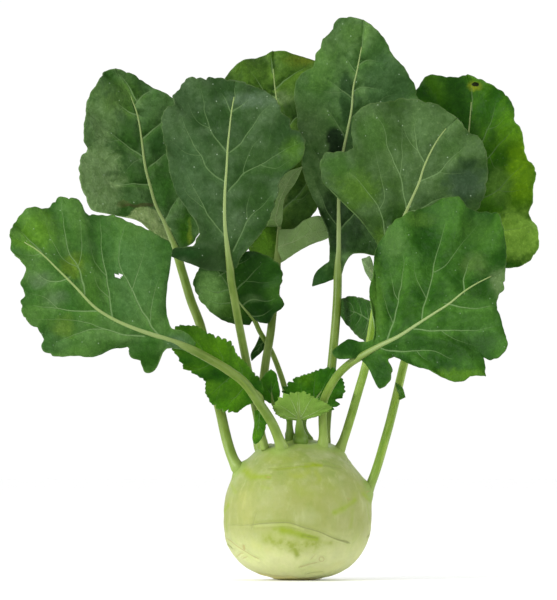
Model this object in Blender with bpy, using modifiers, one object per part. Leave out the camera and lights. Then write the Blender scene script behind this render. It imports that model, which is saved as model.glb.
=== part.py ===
"""A kohlrabi as pulled and washed: the round swollen stem stands on the flat cut of its root, and its leaves stand
up from it, each a pale stalk that runs on as the rib of a dark, lobed and waved blade.

Places are in millimetres in the tables and in metres in the scene: +X right, -Y towards the front, +Z up, and the
origin in the middle of the flat cut that the plant stands on.
"""

import math
from dataclasses import dataclass

import bmesh
import bpy
from mathutils import Vector

MM = 0.001
TAU = 2 * math.pi

# ---------------------------------------------------------------- driving dimensions, mm
BULB_HEIGHT = 74.5
BULB_RADIUS = 40.0
BULB_WIDEST = 34.0  # height of the widest ring
FOOT_RADIUS = 13.5  # the flat root cut
BULB_STEPS = 36
BULB_RINGS = 16
BOSS_HEIGHT = 2.2  # the bulb swells round each stalk's foot
BOSS_REACH = 7.0
BLADE_THICKNESS = 0.9
GAP = 0.3  # between pieces that touch
STALK_STEP = 10.0
STALK_BEVEL = 2
MARGIN_STEP = 9.5  # spacing of the blade's rows, measured along its margin
MARGIN_STEP_SMALL = 4.5
SAMPLES = 240

# colours: linear RGB
BULB_GREEN = (0.50, 0.60, 0.20)
STALK_GREEN = (0.30, 0.42, 0.10)
BLADE_GREEN = (0.055, 0.130, 0.035)
YOUNG_GREEN = (0.075, 0.220, 0.020)
UNDER_GREEN = (0.200, 0.330, 0.110)


@dataclass
class Blade:
    """A leaf's flat part. rib: points where its rib runs, base to end. left and right: margin points from base to
    tip, each with the share of the rib from which the side vein to it starts, as (share, x, z). lean: how far back
    the blade lies for each millimetre to the right and up."""

    rib: list
    left: list
    right: list
    lean: tuple = (0.0, 0.15)
    ruffle: float = 2.4
    waves: float = 4.5
    cup: float = 0.05
    upper: int = 1  # 1 where the upper face looks to the front, -1 where the under face does
    columns: int = 3
    step: float = MARGIN_STEP
    colour: tuple = BLADE_GREEN


@dataclass
class Leaf:
    """stalk: points from inside the bulb to the blade's base. girth: radius at the foot, just above it, at the
    blade's base and at the rib's end. lobes: loose leaflets that grow on the stalk."""

    name: str
    stalk: list
    girth: tuple
    blade: Blade
    lobes: tuple = ()


LEAVES = [
    Leaf(
        "front_left",
        [(-7, -15, 68), (-9, -19, 74), (-14, -25, 86), (-21, -31, 97), (-29, -36, 108), (-38, -41, 115),
         (-48, -46, 121), (-57, -50, 126)],
        (4.2, 2.7, 2.3, 0.8),
        Blade(
            rib=[(-57, -50, 126), (-68, -54, 131), (-80, -58, 135), (-90, -61, 138.5), (-100, -63, 143),
                 (-110, -65, 149.5), (-120, -66, 160), (-130, -66, 170), (-140, -65, 179.5), (-148, -64, 184.5)],
            left=[(0, -58, 124), (0.06, -64, 126.5), (0.12, -70.5, 126), (0.131, -74.4, 121.5), (0.14, -75.6, 116.8),
                  (0.148, -77.2, 113.7), (0.156, -79.8, 112.3), (0.164, -82.7, 113.6), (0.172, -85, 117.8),
                  (0.185, -91, 123), (0.205, -92.5, 127.6), (0.235, -100, 126.8),
                  (0.27, -107, 123.5), (0.31, -115, 121), (0.36, -125, 121), (0.41, -132, 122),
                  (0.46, -138.5, 128), (0.5, -138, 134.5),
                  (0.54, -143, 137.5), (0.59, -148.5, 143), (0.65, -149.8, 152), (0.69, -147.5, 156),
                  (0.73, -150, 162), (0.77, -147, 168), (0.81, -150, 173), (0.88, -154.5, 179), (1, -156, 187)],
            right=[(0, -55, 129.5), (0.06, -61, 135), (0.12, -68, 136.5), (0.15, -70, 141.5), (0.175, -71.5, 152),
                   (0.2, -70, 166), (0.225, -68, 181), (0.26, -79, 188), (0.31, -91, 193), (0.38, -104, 198),
                   (0.45, -115, 199), (0.5, -118, 204.5), (0.6, -130, 207), (0.68, -136, 202), (0.77, -146, 201),
                   (0.88, -153, 195.5), (1, -156, 187)],
            lean=(0.0, 0.42),
            ruffle=2.6,
        ),
    ),
    Leaf(
        "back_left",
        [(-29, -7, 57), (-33, -8, 62), (-36.5, -5, 70), (-40, 0, 82), (-43, 6, 95), (-48, 13, 115), (-53, 20, 138),
         (-58, 25, 152), (-63, 29, 168), (-66, 30, 178)],
        (4.4, 2.9, 2.3, 0.8),
        Blade(
            rib=[(-66, 30, 178), (-72, 33, 193), (-77, 36, 203), (-80, 38, 213), (-83, 40, 225), (-85, 43, 240),
                 (-87, 45, 252), (-91, 47, 263.5)],
            left=[(0, -68.5, 179), (0.04, -74, 184), (0.08, -79, 188), (0.12, -85, 193), (0.16, -93, 196.5),
                  (0.2, -102, 198.5), (0.24, -111, 201), (0.28, -115, 207), (0.33, -119, 214), (0.38, -120, 222), (0.43, -117.5, 230),
                  (0.48, -114, 234), (0.52, -117, 238), (0.58, -117.5, 246), (0.66, -115, 254),
                  (0.74, -113.5, 263), (0.82, -108.5, 271.5), (0.9, -105, 276), (1, -100, 277)],
            right=[(0, -63, 180), (0.04, -58, 183), (0.1, -54, 192), (0.2, -50, 205), (0.32, -49, 220),
                   (0.45, -50, 235), (0.58, -56, 248), (0.7, -65, 257), (0.8, -76, 265), (0.91, -89, 273.5),
                   (1, -100, 277)],
            lean=(0.35, 0.2),
            ruffle=2.6,
        ),
    ),
    Leaf(
        "mid_left",
        [(-18, -1, 69), (-19.5, -2, 75), (-22, -4, 90), (-25, -6, 105), (-28, -8, 120), (-31, -9, 135),
         (-34, -10, 152), (-36, -11, 163), (-36.5, -11, 169)],
        (3.6, 2.3, 2.5, 0.8),
        Blade(
            rib=[(-36.5, -11, 169), (-38, -12, 180), (-39.5, -12, 195), (-39.5, -11, 210), (-38.5, -9, 225),
                 (-38, -7, 235), (-37, -5, 245), (-36, -3, 254), (-34.5, -1, 263)],
            left=[(0, -40, 168), (0.015, -49, 168.5), (0.03, -57, 171.5), (0.045, -64, 174), (0.06, -69, 176.5),
                  (0.08, -67, 180.5), (0.1, -58, 181), (0.12, -55, 184), (0.15, -54, 191), (0.2, -59, 200),
                  (0.26, -66, 211), (0.33, -70, 223), (0.41, -71.5, 234), (0.48, -73.5, 243), (0.54, -74, 251),
                  (0.58, -71, 256.5), (0.61, -67, 258.5), (0.64, -68, 263), (0.68, -64.5, 266.5),
                  (0.73, -62, 271), (0.78, -58, 273), (0.84, -52, 272.3), (0.9, -46, 273.5), (1, -34, 271.5)],
            right=[(0, -33, 170), (0.05, -31, 175), (0.09, -26, 181), (0.13, -21, 187), (0.18, -17, 193),
                   (0.24, -13.5, 201), (0.3, -11, 209), (0.36, -9.5, 217), (0.42, -5.5, 222), (0.47, -1, 225.5),
                   (0.52, 3, 230), (0.57, 4, 237), (0.61, 2, 243.5), (0.64, -3, 245), (0.67, -4, 250),
                   (0.71, -8.5, 254), (0.76, -11, 259.5), (0.83, -17, 265.5), (0.9, -25, 269), (1, -34, 271.5)],
            lean=(0.04, 0.18),
            ruffle=1.8,
        ),
    ),
    Leaf(
        "tall_back",
        [(14, 2, 69), (15, 2, 76), (16.1, 3, 90), (18.1, 5, 110), (20.5, 7, 135), (21.8, 10, 155), (22, 12, 165)],
        (3.8, 2.6, 2.3, 0.8),
        Blade(
            rib=[(22, 12, 165), (22.3, 15, 178), (22.5, 17, 192), (22.5, 18, 205), (23, 20, 218), (24.5, 22, 231),
                 (27, 24, 243), (29.5, 25, 256), (30.5, 27, 268), (32.5, 28, 277), (35, 30, 290)],
            left=[(0, 20, 164), (0.012, 15, 161.5), (0.024, 8, 159.5), (0.036, 9, 165), (0.05, 13.5, 170.5),
                  (0.07, 17.5, 174), (0.1, 17.5, 183), (0.14, 16, 191), (0.19, 13, 198), (0.24, 10.5, 204),
                  (0.3, 7, 211), (0.36, 4, 219), (0.43, 2, 230), (0.5, 0.5, 242), (0.56, 0, 253),
                  (0.61, -1.5, 262), (0.66, -1, 270), (0.7, 3, 276), (0.735, 9, 279.5), (0.765, 10, 285),
                  (0.8, 13, 289.5), (0.84, 14.5, 294.5), (0.88, 18, 297.5), (0.91, 20, 302.5),
                  (0.94, 23, 305.5), (0.97, 28.5, 306.3), (1, 36, 304.3)],
            right=[(0, 24, 166), (0.05, 26.5, 173), (0.09, 31.5, 177.5), (0.12, 36.5, 177.5), (0.15, 42, 176.5),
                   (0.19, 48, 181), (0.23, 53, 189), (0.31, 58, 200), (0.39, 62, 214), (0.47, 66, 230),
                   (0.54, 67.5, 245), (0.59, 66.5, 257), (0.64, 64.5, 267), (0.69, 61, 274.5), (0.74, 56, 281),
                   (0.79, 51.5, 286), (0.86, 49, 292), (0.93, 44, 298.5), (1, 36, 304.3)],
            lean=(-0.05, 0.15),
            ruffle=2.4,
        ),
    ),
    Leaf(
        "front_right",
        [(13, -9, 69), (14, -10, 76), (13.7, -13, 87), (14.2, -17, 97), (17, -21, 104), (22, -26, 112),
         (28, -32, 118), (34, -37, 122)],
        (3.6, 2.3, 2.1, 0.8),
        Blade(
            rib=[(34, -37, 122), (45, -42, 128.5), (55, -46, 133.5), (65, -50, 140), (75, -53, 146.5),
                 (82, -55, 151), (90, -57, 157.5), (97, -58, 162), (105, -58, 166)],
            left=[(0, 31, 121), (0.01, 23, 120.3), (0.02, 18.7, 124), (0.03, 22.5, 128), (0.04, 28, 131.3),
                  (0.065, 34, 130), (0.1, 41, 130.5), (0.12, 42, 137), (0.135, 40.5, 146), (0.15, 39, 156),
                  (0.17, 41.3, 165), (0.195, 41.5, 173), (0.225, 43, 181), (0.26, 47, 187), (0.3, 51, 192.5),
                  (0.36, 57, 196), (0.41, 64, 200), (0.46, 72, 203), (0.52, 79, 206), (0.58, 87, 206.5),
                  (0.63, 92, 202), (0.68, 99, 200.5), (0.75, 108, 199), (0.82, 111.5, 190), (0.9, 113.3, 179),
                  (1, 112.5, 168)],
            right=[(0, 35, 120.2), (0.015, 39, 115), (0.03, 41.7, 109), (0.042, 44.5, 103.7), (0.056, 49.5, 107),
                   (0.07, 51.3, 113), (0.09, 49, 119), (0.14, 53, 121.7), (0.22, 62, 118), (0.3, 72, 113),
                   (0.37, 80, 110), (0.44, 87, 108.5), (0.5, 95, 110.3), (0.56, 102, 110), (0.6, 101.5, 117),
                   (0.63, 101, 121.5), (0.67, 105, 120), (0.71, 110, 121.5), (0.75, 113.7, 126.5),
                   (0.8, 112, 135), (0.84, 110, 143), (0.89, 107.7, 152), (0.94, 111.5, 158), (1, 112.5, 168)],
            lean=(0.0, 0.42),
            ruffle=2.6,
        ),
    ),
    Leaf(
        "mid_right",
        [(21, -1, 66), (23.4, -1, 72), (26.9, -2, 82), (30.5, -3, 93), (34, -4, 105), (37.4, -5, 118), (39.9, -6, 132),
         (42, -6, 145), (44, -7, 157), (47, -8, 168)],
        (3.8, 2.4, 2.2, 0.8),
        Blade(
            rib=[(47, -8, 168), (50, -8, 178), (54, -8, 189), (58, -8, 198), (62, -7, 207), (66, -6, 216),
                 (68.5, -5, 224), (72, -4, 232), (76.5, -3, 240), (81, -2, 246)],
            left=[(0, 46, 169.5), (0.045, 46.3, 177), (0.085, 41.5, 186), (0.13, 34, 196), (0.17, 28, 202),
                  (0.22, 20, 210), (0.27, 13.5, 218), (0.32, 12.5, 226), (0.36, 16, 232), (0.4, 24, 232.5),
                  (0.44, 30.5, 235), (0.48, 29.5, 244), (0.53, 32.5, 254), (0.58, 40, 258.5), (0.64, 49, 260),
                  (0.71, 57, 262), (0.78, 64, 261), (0.85, 71, 260), (0.92, 79, 257), (1, 87, 251)],
            right=[(0, 50, 168), (0.05, 57, 172), (0.12, 66, 178), (0.2, 77, 185), (0.28, 87, 192),
                   (0.36, 95, 199), (0.44, 100, 205), (0.52, 102.5, 212), (0.6, 103.5, 220), (0.68, 103.5, 228),
                   (0.75, 101.5, 236), (0.8, 98.5, 241), (0.86, 94, 243), (0.93, 90.5, 247), (1, 87, 251)],
            lean=(-0.05, 0.15),
            ruffle=2.2,
        ),
        lobes=(
            Blade(
                rib=[(40, -6, 141), (33, 6, 145), (25.5, 17, 147.4)],
                left=[(0, 38.5, 128.3), (0.35, 33, 133.3), (0.7, 26, 140.3), (1, 20.5, 148)],
                right=[(0, 42, 151), (0.35, 36, 153.5), (0.7, 28, 154.3), (1, 20.5, 148)],
                lean=(-1.3, 0.0), ruffle=0.8, waves=1.5, columns=3, step=MARGIN_STEP_SMALL,
            ),
            Blade(
                rib=[(44.5, -8.5, 162), (41, -14, 167), (38, -17, 171.5)],
                left=[(0, 43.5, 158.5), (0.4, 39, 164.5), (0.8, 35.7, 171), (1, 35, 175)],
                right=[(0, 44, 164.5), (0.4, 41.5, 170), (0.75, 38.8, 176.5), (1, 35, 175)],
                lean=(0.0, 0.1), ruffle=0.5, waves=1.5, upper=-1, columns=2, step=MARGIN_STEP_SMALL,
                colour=UNDER_GREEN,
            ),
        ),
    ),
    Leaf(
        "back_right",
        [(34.5, -5, 44), (38.5, -5, 49), (43.5, -2, 62), (48.1, 3, 77), (52.1, 8, 93), (55.6, 13, 107), (59, 18, 121),
         (64, 22, 138), (71, 27, 156), (78, 31, 171), (84, 34, 184)],
        (4.2, 2.5, 2.1, 0.8),
        Blade(
            rib=[(84, 34, 184), (88, 37, 194), (91.5, 41, 208), (93.3, 45, 222), (93, 47, 236), (94, 50, 248),
                 (95, 53, 260)],
            left=[(0, 80, 182), (0.06, 73, 188), (0.14, 67, 198), (0.24, 63, 212), (0.36, 61, 228),
                  (0.48, 61, 243), (0.58, 62, 255), (0.66, 65.5, 265), (0.74, 70, 270), (0.82, 76, 273),
                  (0.9, 84, 272.8), (1, 94, 273.2)],
            right=[(0, 85.3, 182.7), (0.05, 95, 173), (0.1, 104, 169.5), (0.16, 113, 170), (0.21, 121, 171.5),
                   (0.26, 129, 176), (0.31, 132.5, 184), (0.36, 131, 191), (0.41, 127, 196), (0.45, 125.5, 200),
                   (0.49, 128.5, 206), (0.54, 129.5, 214), (0.59, 130, 221), (0.63, 127, 226.5),
                   (0.67, 123.7, 230), (0.71, 123.7, 237), (0.75, 122.5, 244), (0.79, 118.5, 249),
                   (0.84, 117, 257), (0.89, 111, 265), (0.95, 103, 269.5), (1, 94, 273.2)],
            lean=(-0.35, 0.25),
            ruffle=3.0,
            colour=YOUNG_GREEN,
        ),
        lobes=(
            Blade(
                rib=[(54.2, 9.5, 103.5), (56.5, 8, 101.5)],
                left=[(0, 53.5, 107), (0.5, 57, 104.5), (1, 58.7, 99.5)],
                right=[(0, 53.5, 99.5), (0.5, 55.5, 98.3), (1, 58.7, 99.5)],
                lean=(-0.4, 0.0), ruffle=0.2, waves=1, columns=2, step=MARGIN_STEP_SMALL,
            ),
        ),
    ),
    Leaf(
        "back_middle",
        [(-19, 8, 68), (-21, 9, 75), (-21, 10, 90), (-19, 12, 105), (-17, 15, 120), (-14.5, 18, 135),
         (-13, 21, 148), (-11.5, 25, 160), (-11, 29, 172)],
        (3.6, 2.4, 2.1, 0.8),
        Blade(
            rib=[(-11, 29, 172), (-10, 36, 190), (-9, 43, 207), (-9, 50, 225), (-10, 58, 243), (-11, 64, 258),
                 (-12.5, 69, 270), (-13.2, 72, 278)],
            left=[(0, -14, 171), (0.04, -20.5, 173.5), (0.08, -26, 178), (0.13, -28.5, 186), (0.18, -30, 195),
                  (0.28, -34, 210),
                  (0.38, -39, 226), (0.48, -43, 242), (0.58, -44, 256), (0.66, -42.5, 266), (0.73, -38.5, 274),
                  (0.82, -30, 281), (0.91, -21.5, 284.5), (1, -13.3, 286.7)],
            right=[(0, -10, 172), (0.05, -9, 179), (0.09, -7, 184.5), (0.13, -1, 190.5), (0.18, 7, 197),
                   (0.23, 11, 203), (0.3, 14, 214), (0.4, 17, 230), (0.5, 19, 246), (0.6, 19.5, 258),
                   (0.7, 18, 270), (0.8, 12, 280), (0.9, 0, 285.3), (1, -13.3, 286.7)],
            lean=(0.0, 0.4),
            ruffle=2.6,
            colour=YOUNG_GREEN,
        ),
        lobes=(
            Blade(
                rib=[(-10.5, 31, 181), (-2, 24, 184), (6, 22, 188), (14, 24, 190)],
                left=[(0, -10, 190.5), (0.3, -2, 190.8), (0.5, 4, 195.5), (0.7, 11, 198), (0.88, 17, 195.5),
                      (1, 22, 190)],
                right=[(0, -11, 171), (0.25, -5, 174.8), (0.5, 2, 179.5), (0.7, 9, 183), (0.88, 16, 185.5),
                       (1, 22, 190)],
                lean=(0.1, 0.0), ruffle=1.2, waves=1.5, upper=-1, columns=3, step=MARGIN_STEP_SMALL,
                colour=UNDER_GREEN,
            ),
            Blade(
                rib=[(-10.5, 33, 192), (-12, 29, 196), (-11, 29, 200.5), (-9.6, 30.5, 206), (-6.5, 33.5, 213),
                     (-3, 36.5, 219.5), (2.5, 41, 224.6)],
                left=[(0, -12, 192.3), (0.07, -17, 192.3), (0.2, -15.4, 197), (0.34, -13.4, 201.5),
                      (0.46, -11.8, 206.2), (0.6, -10.8, 211), (0.74, -10.4, 216), (0.86, -8.2, 220.4),
                      (1, 2.5, 224.6)],
                right=[(0, -9, 192.3), (0.18, -8.2, 197), (0.36, -8, 203), (0.5, -7.2, 207), (0.64, -4.2, 211.5),
                       (0.78, -1.2, 216), (0.9, 0.8, 220.5), (1, 2.5, 224.6)],
                lean=(-0.2, 0.1), ruffle=0.5, waves=1.5, upper=-1, columns=2, step=MARGIN_STEP_SMALL,
                colour=UNDER_GREEN,
            ),
        ),
    ),
    Leaf(
        "inner_left",
        [(-4.5, 4.5, 72), (-4.5, 5.5, 78), (-4.4, 9, 91), (-7, 15, 105), (-11, 20.5, 117), (-15, 22.5, 126),
         (-20.5, 19.5, 135), (-24, 14, 142)],
        (2.7, 1.7, 1.3, 0.7),
        Blade(
            rib=[(-24, 14, 142), (-30, 10, 149), (-36, 7, 157), (-41, 5, 165), (-45, 4, 170)],
            left=[(0, -26, 138.5), (0.1, -33, 139), (0.2, -39, 140.5), (0.3, -44, 143.5), (0.42, -49, 148),
                  (0.55, -54.5, 154.5), (0.68, -56, 161), (0.8, -55, 166.5), (0.9, -53, 170.5), (1, -49, 174.5)],
            right=[(0, -20, 140), (0.08, -16, 139.5), (0.15, -12.5, 145), (0.22, -6.5, 150), (0.29, -9, 156),
                   (0.38, -7.5, 163), (0.5, -9, 171), (0.62, -16, 176.5), (0.72, -25, 179), (0.82, -35, 178.5),
                   (0.92, -43, 176.8), (1, -49, 174.5)],
            lean=(-0.35, 0.05), ruffle=1.4, waves=3, columns=3,
            step=6.0,
        ),
        lobes=(
            Blade(
                rib=[(-17.5, 22, 131), (-20.5, 22.5, 126.5), (-23.2, 22.5, 122)],
                left=[(0, -16.3, 129.5), (0.4, -18.5, 125), (0.8, -22.8, 120.8), (1, -25, 119)],
                right=[(0, -20.5, 133), (0.4, -22.8, 127.5), (0.8, -25.5, 122), (1, -25, 119)],
                lean=(0.0, 0.0), ruffle=0.3, waves=1, columns=2, step=MARGIN_STEP_SMALL,
            ),
        ),
    ),
    Leaf(
        "small_left",
        [(-17, -10.5, 69), (-18.5, -12, 76), (-20, -15, 87), (-20.5, -18, 95), (-20, -19, 100)],
        (2.8, 1.7, 1.5, 0.7),
        Blade(
            rib=[(-20, -19, 100), (-30, -22, 108), (-40, -24, 115), (-50, -25, 122), (-60, -25, 128.5)],
            left=[(0, -22, 97.5), (0.08, -28, 95), (0.16, -34, 91.5), (0.24, -41, 92.5), (0.32, -47, 97),
                  (0.4, -50, 103), (0.48, -50, 108), (0.56, -56, 112.5), (0.66, -62, 116), (0.76, -64.5, 121),
                  (0.86, -68, 126), (1, -69, 133)],
            right=[(0, -18, 103), (0.1, -20, 109), (0.2, -24, 113), (0.3, -28, 118.5), (0.4, -33, 123),
                   (0.5, -36, 129.5), (0.6, -42, 132), (0.7, -49, 135), (0.8, -56, 138.5), (0.9, -64, 139),
                   (1, -69, 133)],
            lean=(0.0, 0.1), ruffle=1.6, waves=5, columns=3,
            step=6.0,
            colour=YOUNG_GREEN,
        ),
        lobes=(
            Blade(
                rib=[(-20.5, -18.5, 93), (-21, -19.5, 86), (-21.4, -20, 79)],
                left=[(0, -17.2, 93), (0.3, -16.5, 87.5), (0.55, -17.2, 83.5), (0.75, -18.6, 79.3),
                      (0.9, -20.8, 75.6), (1, -22.5, 74.3)],
                right=[(0, -23.4, 92.5), (0.3, -23.3, 86.5), (0.6, -24.2, 80), (0.8, -24.6, 77.6),
                       (0.93, -24, 75.5), (1, -22.5, 74.3)],
                lean=(0.0, 0.0), ruffle=0.3, waves=1, columns=2, step=MARGIN_STEP_SMALL,
                colour=YOUNG_GREEN,
            ),
        ),
    ),
    Leaf(
        "heart_pale",
        [(1.8, -9, 72), (1.6, -12, 78), (1, -17, 83), (1, -20, 87)],
        (3.9, 2.4, 1.7, 0.7),
        Blade(
            rib=[(1, -20, 87), (0.5, -24, 92), (0, -26, 97)],
            left=[(0, -2, 87.5), (0.16, -6, 88.1), (0.32, -11.4, 90.8), (0.44, -13.3, 94.6), (0.56, -11.4, 98),
                  (0.66, -9.6, 99.9), (0.77, -7.2, 101.4), (0.88, -4, 102.2), (1, 0.2, 102.8)],
            right=[(0, 4, 87.7), (0.14, 10.4, 89.7), (0.26, 14.8, 91.6), (0.38, 18.6, 94.6), (0.5, 15.6, 97),
                   (0.62, 12, 98.5), (0.73, 9, 100.1), (0.84, 6.1, 101.8), (0.92, 3, 102.8), (1, 0.2, 102.8)],
            lean=(0.0, -0.2), ruffle=0.6, waves=3, cup=-0.1, upper=-1, columns=3, step=MARGIN_STEP_SMALL,
            colour=UNDER_GREEN,
        ),
    ),
    Leaf(
        "heart_green",
        [(7, -2.4, 71.5), (5.4, -3.4, 77), (3.4, -4.8, 83), (3.6, -5.6, 87), (5, -6, 90)],
        (3.0, 1.8, 1.5, 0.7),
        Blade(
            rib=[(5, -6, 90), (9, -7, 97), (13, -8, 103), (16, -8, 109)],
            left=[(0, 2, 91), (0.15, -3, 96), (0.3, -8, 103), (0.45, -4, 108), (0.58, 1, 111), (0.72, 6, 112.5),
                  (0.86, 13, 115), (1, 19.5, 116)],
            right=[(0, 8, 89.5), (0.15, 14, 91), (0.29, 19.4, 93.2), (0.39, 22.2, 96), (0.47, 21.8, 98.4),
                   (0.56, 24.6, 99.9), (0.66, 25.7, 103.6), (0.78, 25.2, 108), (0.89, 22.5, 112.4), (1, 19.5, 116)],
            lean=(0.0, 0.0), ruffle=0.9, waves=3, columns=3, step=MARGIN_STEP_SMALL,
            colour=YOUNG_GREEN,
        ),
    ),
    Leaf(
        "heart_tip",
        [(-4, -4.5, 72), (-4.2, -6, 80), (-5, -9, 88), (-9, -11.5, 92.5), (-13, -12, 96)],
        (2.3, 1.5, 1.2, 0.6),
        Blade(
            rib=[(-13, -12, 96), (-14, -13, 102), (-14.3, -14, 108)],
            left=[(0, -15.5, 96.5), (0.3, -20, 101), (0.6, -20.5, 107), (0.85, -18, 112), (1, -14.4, 115)],
            right=[(0, -10.8, 96.5), (0.3, -9.5, 102), (0.6, -10.5, 108), (0.85, -11.5, 112.5), (1, -14.4, 115)],
            lean=(0.0, 0.0), ruffle=0.5, waves=2, columns=2, step=MARGIN_STEP_SMALL,
            colour=YOUNG_GREEN,
        ),
    ),
]


# ---------------------------------------------------------------- curves
def on_curve(keys, points, key, tight=False):
    """The point at key on a smooth curve through points, each given at its own key. A tight curve never swings out
    past the points that it runs through."""
    last = len(keys) - 2
    i = next((j for j in range(last) if key < keys[j + 1]), last)
    span = keys[i + 1] - keys[i]
    u = (key - keys[i]) / span

    def secant(j):
        j = min(max(j, 0), last)
        return (points[j + 1] - points[j]) / (keys[j + 1] - keys[j])

    def slope(j):
        before, after = secant(j - 1), secant(j)
        if tight:
            pairs = zip(before, after)
            return Vector([2 * a * b / (a + b) if a * b > 0 else 0.0 for a, b in pairs])
        reach_before = keys[max(j, 1)] - keys[max(j, 1) - 1]
        reach_after = keys[min(j, last) + 1] - keys[min(j, last)]
        return (before * reach_before + after * reach_after) / (reach_before + reach_after)

    return (
        points[i] * (2 * u**3 - 3 * u**2 + 1)
        + points[i + 1] * (3 * u**2 - 2 * u**3)
        + slope(i) * span * (u**3 - 2 * u**2 + u)
        + slope(i + 1) * span * (u**3 - u**2)
    )


def lengths_along(points):
    """The distance of each point from the first, along the line through them."""
    total, found = 0.0, [0.0]
    for a, b in zip(points, points[1:]):
        total += (b - a).length
        found.append(total)
    return found


def rib_point(blade, share):
    points = [Vector(p) for p in blade.rib]
    keys = lengths_along(points)
    return on_curve(keys, points, share * keys[-1])


def margin_point(blade, side, share):
    """The margin point that the side vein from this share of the rib runs to, laid back by the blade's lean."""
    table = blade.left if side < 0 else blade.right
    flat = on_curve([row[0] for row in table], [Vector(row[1:]) for row in table], share, tight=True)
    base = rib_point(blade, share)
    back = blade.lean[0] * (flat.x - base.x) + blade.lean[1] * (flat.y - base.z)
    return Vector((flat.x, base.y + back, flat.y))


def row_shares(blade):
    """Shares of the rib at which the blade's rows start, set so that the rows meet the margins evenly."""
    shares = [i / SAMPLES for i in range(SAMPLES + 1)]
    edges = [[margin_point(blade, side, share) for share in shares] for side in (-1, 1)]
    walked = [0.0]
    for i in range(SAMPLES):
        walked.append(walked[-1] + max((edge[i + 1] - edge[i]).length for edge in edges))
    rows = max(4, round(walked[-1] / blade.step))
    found = []
    for row in range(rows + 1):
        target = walked[-1] * row / rows
        i = next((j for j in range(SAMPLES) if walked[j + 1] >= target), SAMPLES - 1)
        found.append(shares[i] + (target - walked[i]) / max(walked[i + 1] - walked[i], 1e-9) / SAMPLES)
    return found


def blade_point(blade, share, across):
    """A point of the blade: across runs from -1 at the left margin over 0 at the rib to 1 at the right margin."""
    base = rib_point(blade, share)
    side = -1 if across < 0 else 1
    out = abs(across)
    edge = margin_point(blade, side, share)
    front = Vector((blade.lean[0], -1, blade.lean[1])).normalized() * blade.upper
    reach = (edge - base).length
    phase = TAU * blade.waves * side * (1 - share)
    grown = min(1.0, share / 0.1)
    wave = blade.ruffle * grown * out**2.5 * math.sin(phase + 0.9)
    return base + (edge - base) * out + front * (blade.cup * reach * out**2 + wave)


# ---------------------------------------------------------------- objects
def clear_scene():
    for obj in list(bpy.data.objects):
        bpy.data.objects.remove(obj)


def collection(name):
    made = bpy.data.collections.new(name)
    bpy.context.scene.collection.children.link(made)
    return made


def material(name, colour, roughness):
    made = bpy.data.materials.new(name)
    made.use_nodes = True
    shader = made.node_tree.nodes["Principled BSDF"]
    shader.inputs["Base Color"].default_value = (*colour, 1)
    shader.inputs["Roughness"].default_value = roughness
    shader.inputs["Metallic"].default_value = 0
    return made


def mesh_object(name, bm, group, finish=None):
    mesh = bpy.data.meshes.new(name)
    bm.to_mesh(mesh)
    bm.free()
    obj = bpy.data.objects.new(name, mesh)
    group.objects.link(obj)
    if finish:
        mesh.materials.append(finish)
    return obj


def hide_cutter(obj):
    obj.hide_render = True
    obj.display_type = "WIRE"
    return obj


def cut(obj, cutter):
    boolean = obj.modifiers.new("cut by " + cutter.name, "BOOLEAN")
    boolean.operation = "DIFFERENCE"
    boolean.solver = "EXACT"
    boolean.object = cutter


# ---------------------------------------------------------------- the bulb
def bulb_profile():
    """(radius, height) from the crown down to the middle of the foot."""
    found = [(0.0, BULB_HEIGHT)]
    for i in range(1, BULB_RINGS):
        turn = math.pi * i / BULB_RINGS
        above = turn < math.pi / 2
        tall = BULB_HEIGHT - BULB_WIDEST if above else BULB_WIDEST
        squareness = 0.92 if above else 0.86
        radius = BULB_RADIUS * math.sin(turn) ** squareness
        height = BULB_WIDEST + tall * math.copysign(abs(math.cos(turn)) ** squareness, math.cos(turn))
        if radius > FOOT_RADIUS or above:
            found.append((radius, height))
    return found + [(FOOT_RADIUS, 0.0), (0.0, 0.0)]


def build_bulb(name, group, grow=0.0, finish=None):
    """The turned body, with a low swelling round each stalk's foot. grow sets its whole surface out."""
    bm = bmesh.new()
    ring = [bm.verts.new((radius * MM, 0, height * MM)) for radius, height in bulb_profile()]
    for a, b in zip(ring, ring[1:]):
        bm.edges.new((a, b))
    bmesh.ops.spin(bm, geom=bm.verts[:] + bm.edges[:], cent=(0, 0, 0), axis=(0, 0, 1), angle=TAU,
                   steps=BULB_STEPS, use_duplicate=False)
    bmesh.ops.remove_doubles(bm, verts=bm.verts[:], dist=1e-5)
    bmesh.ops.recalc_face_normals(bm, faces=bm.faces[:])
    bmesh.ops.triangulate(bm, faces=bm.faces[:])
    bm.normal_update()
    feet = [Vector(leaf.stalk[1]) * MM for leaf in LEAVES]
    for vert in bm.verts:
        swell = sum(math.exp(-((vert.co - foot).length / (BOSS_REACH * MM)) ** 2) for foot in feet)
        out = BOSS_HEIGHT * min(swell, 1.0) + grow
        vert.co += vert.normal * out * MM
    return mesh_object(name, bm, group, finish)


# ---------------------------------------------------------------- the leaves
def stalk_radius(leaf, walked, neck, blade_start, end):
    """The stalk thins quickly above its foot, slowly up to the blade, and then to the rib's end."""
    foot, above_foot, at_blade, at_end = leaf.girth
    if walked < neck:
        return foot + (above_foot - foot) * (walked / neck) ** 0.7
    if walked < blade_start:
        return above_foot + (at_blade - above_foot) * (walked - neck) / (blade_start - neck)
    return at_blade + (at_end - at_blade) * ((walked - blade_start) / (end - blade_start)) ** 0.85


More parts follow.
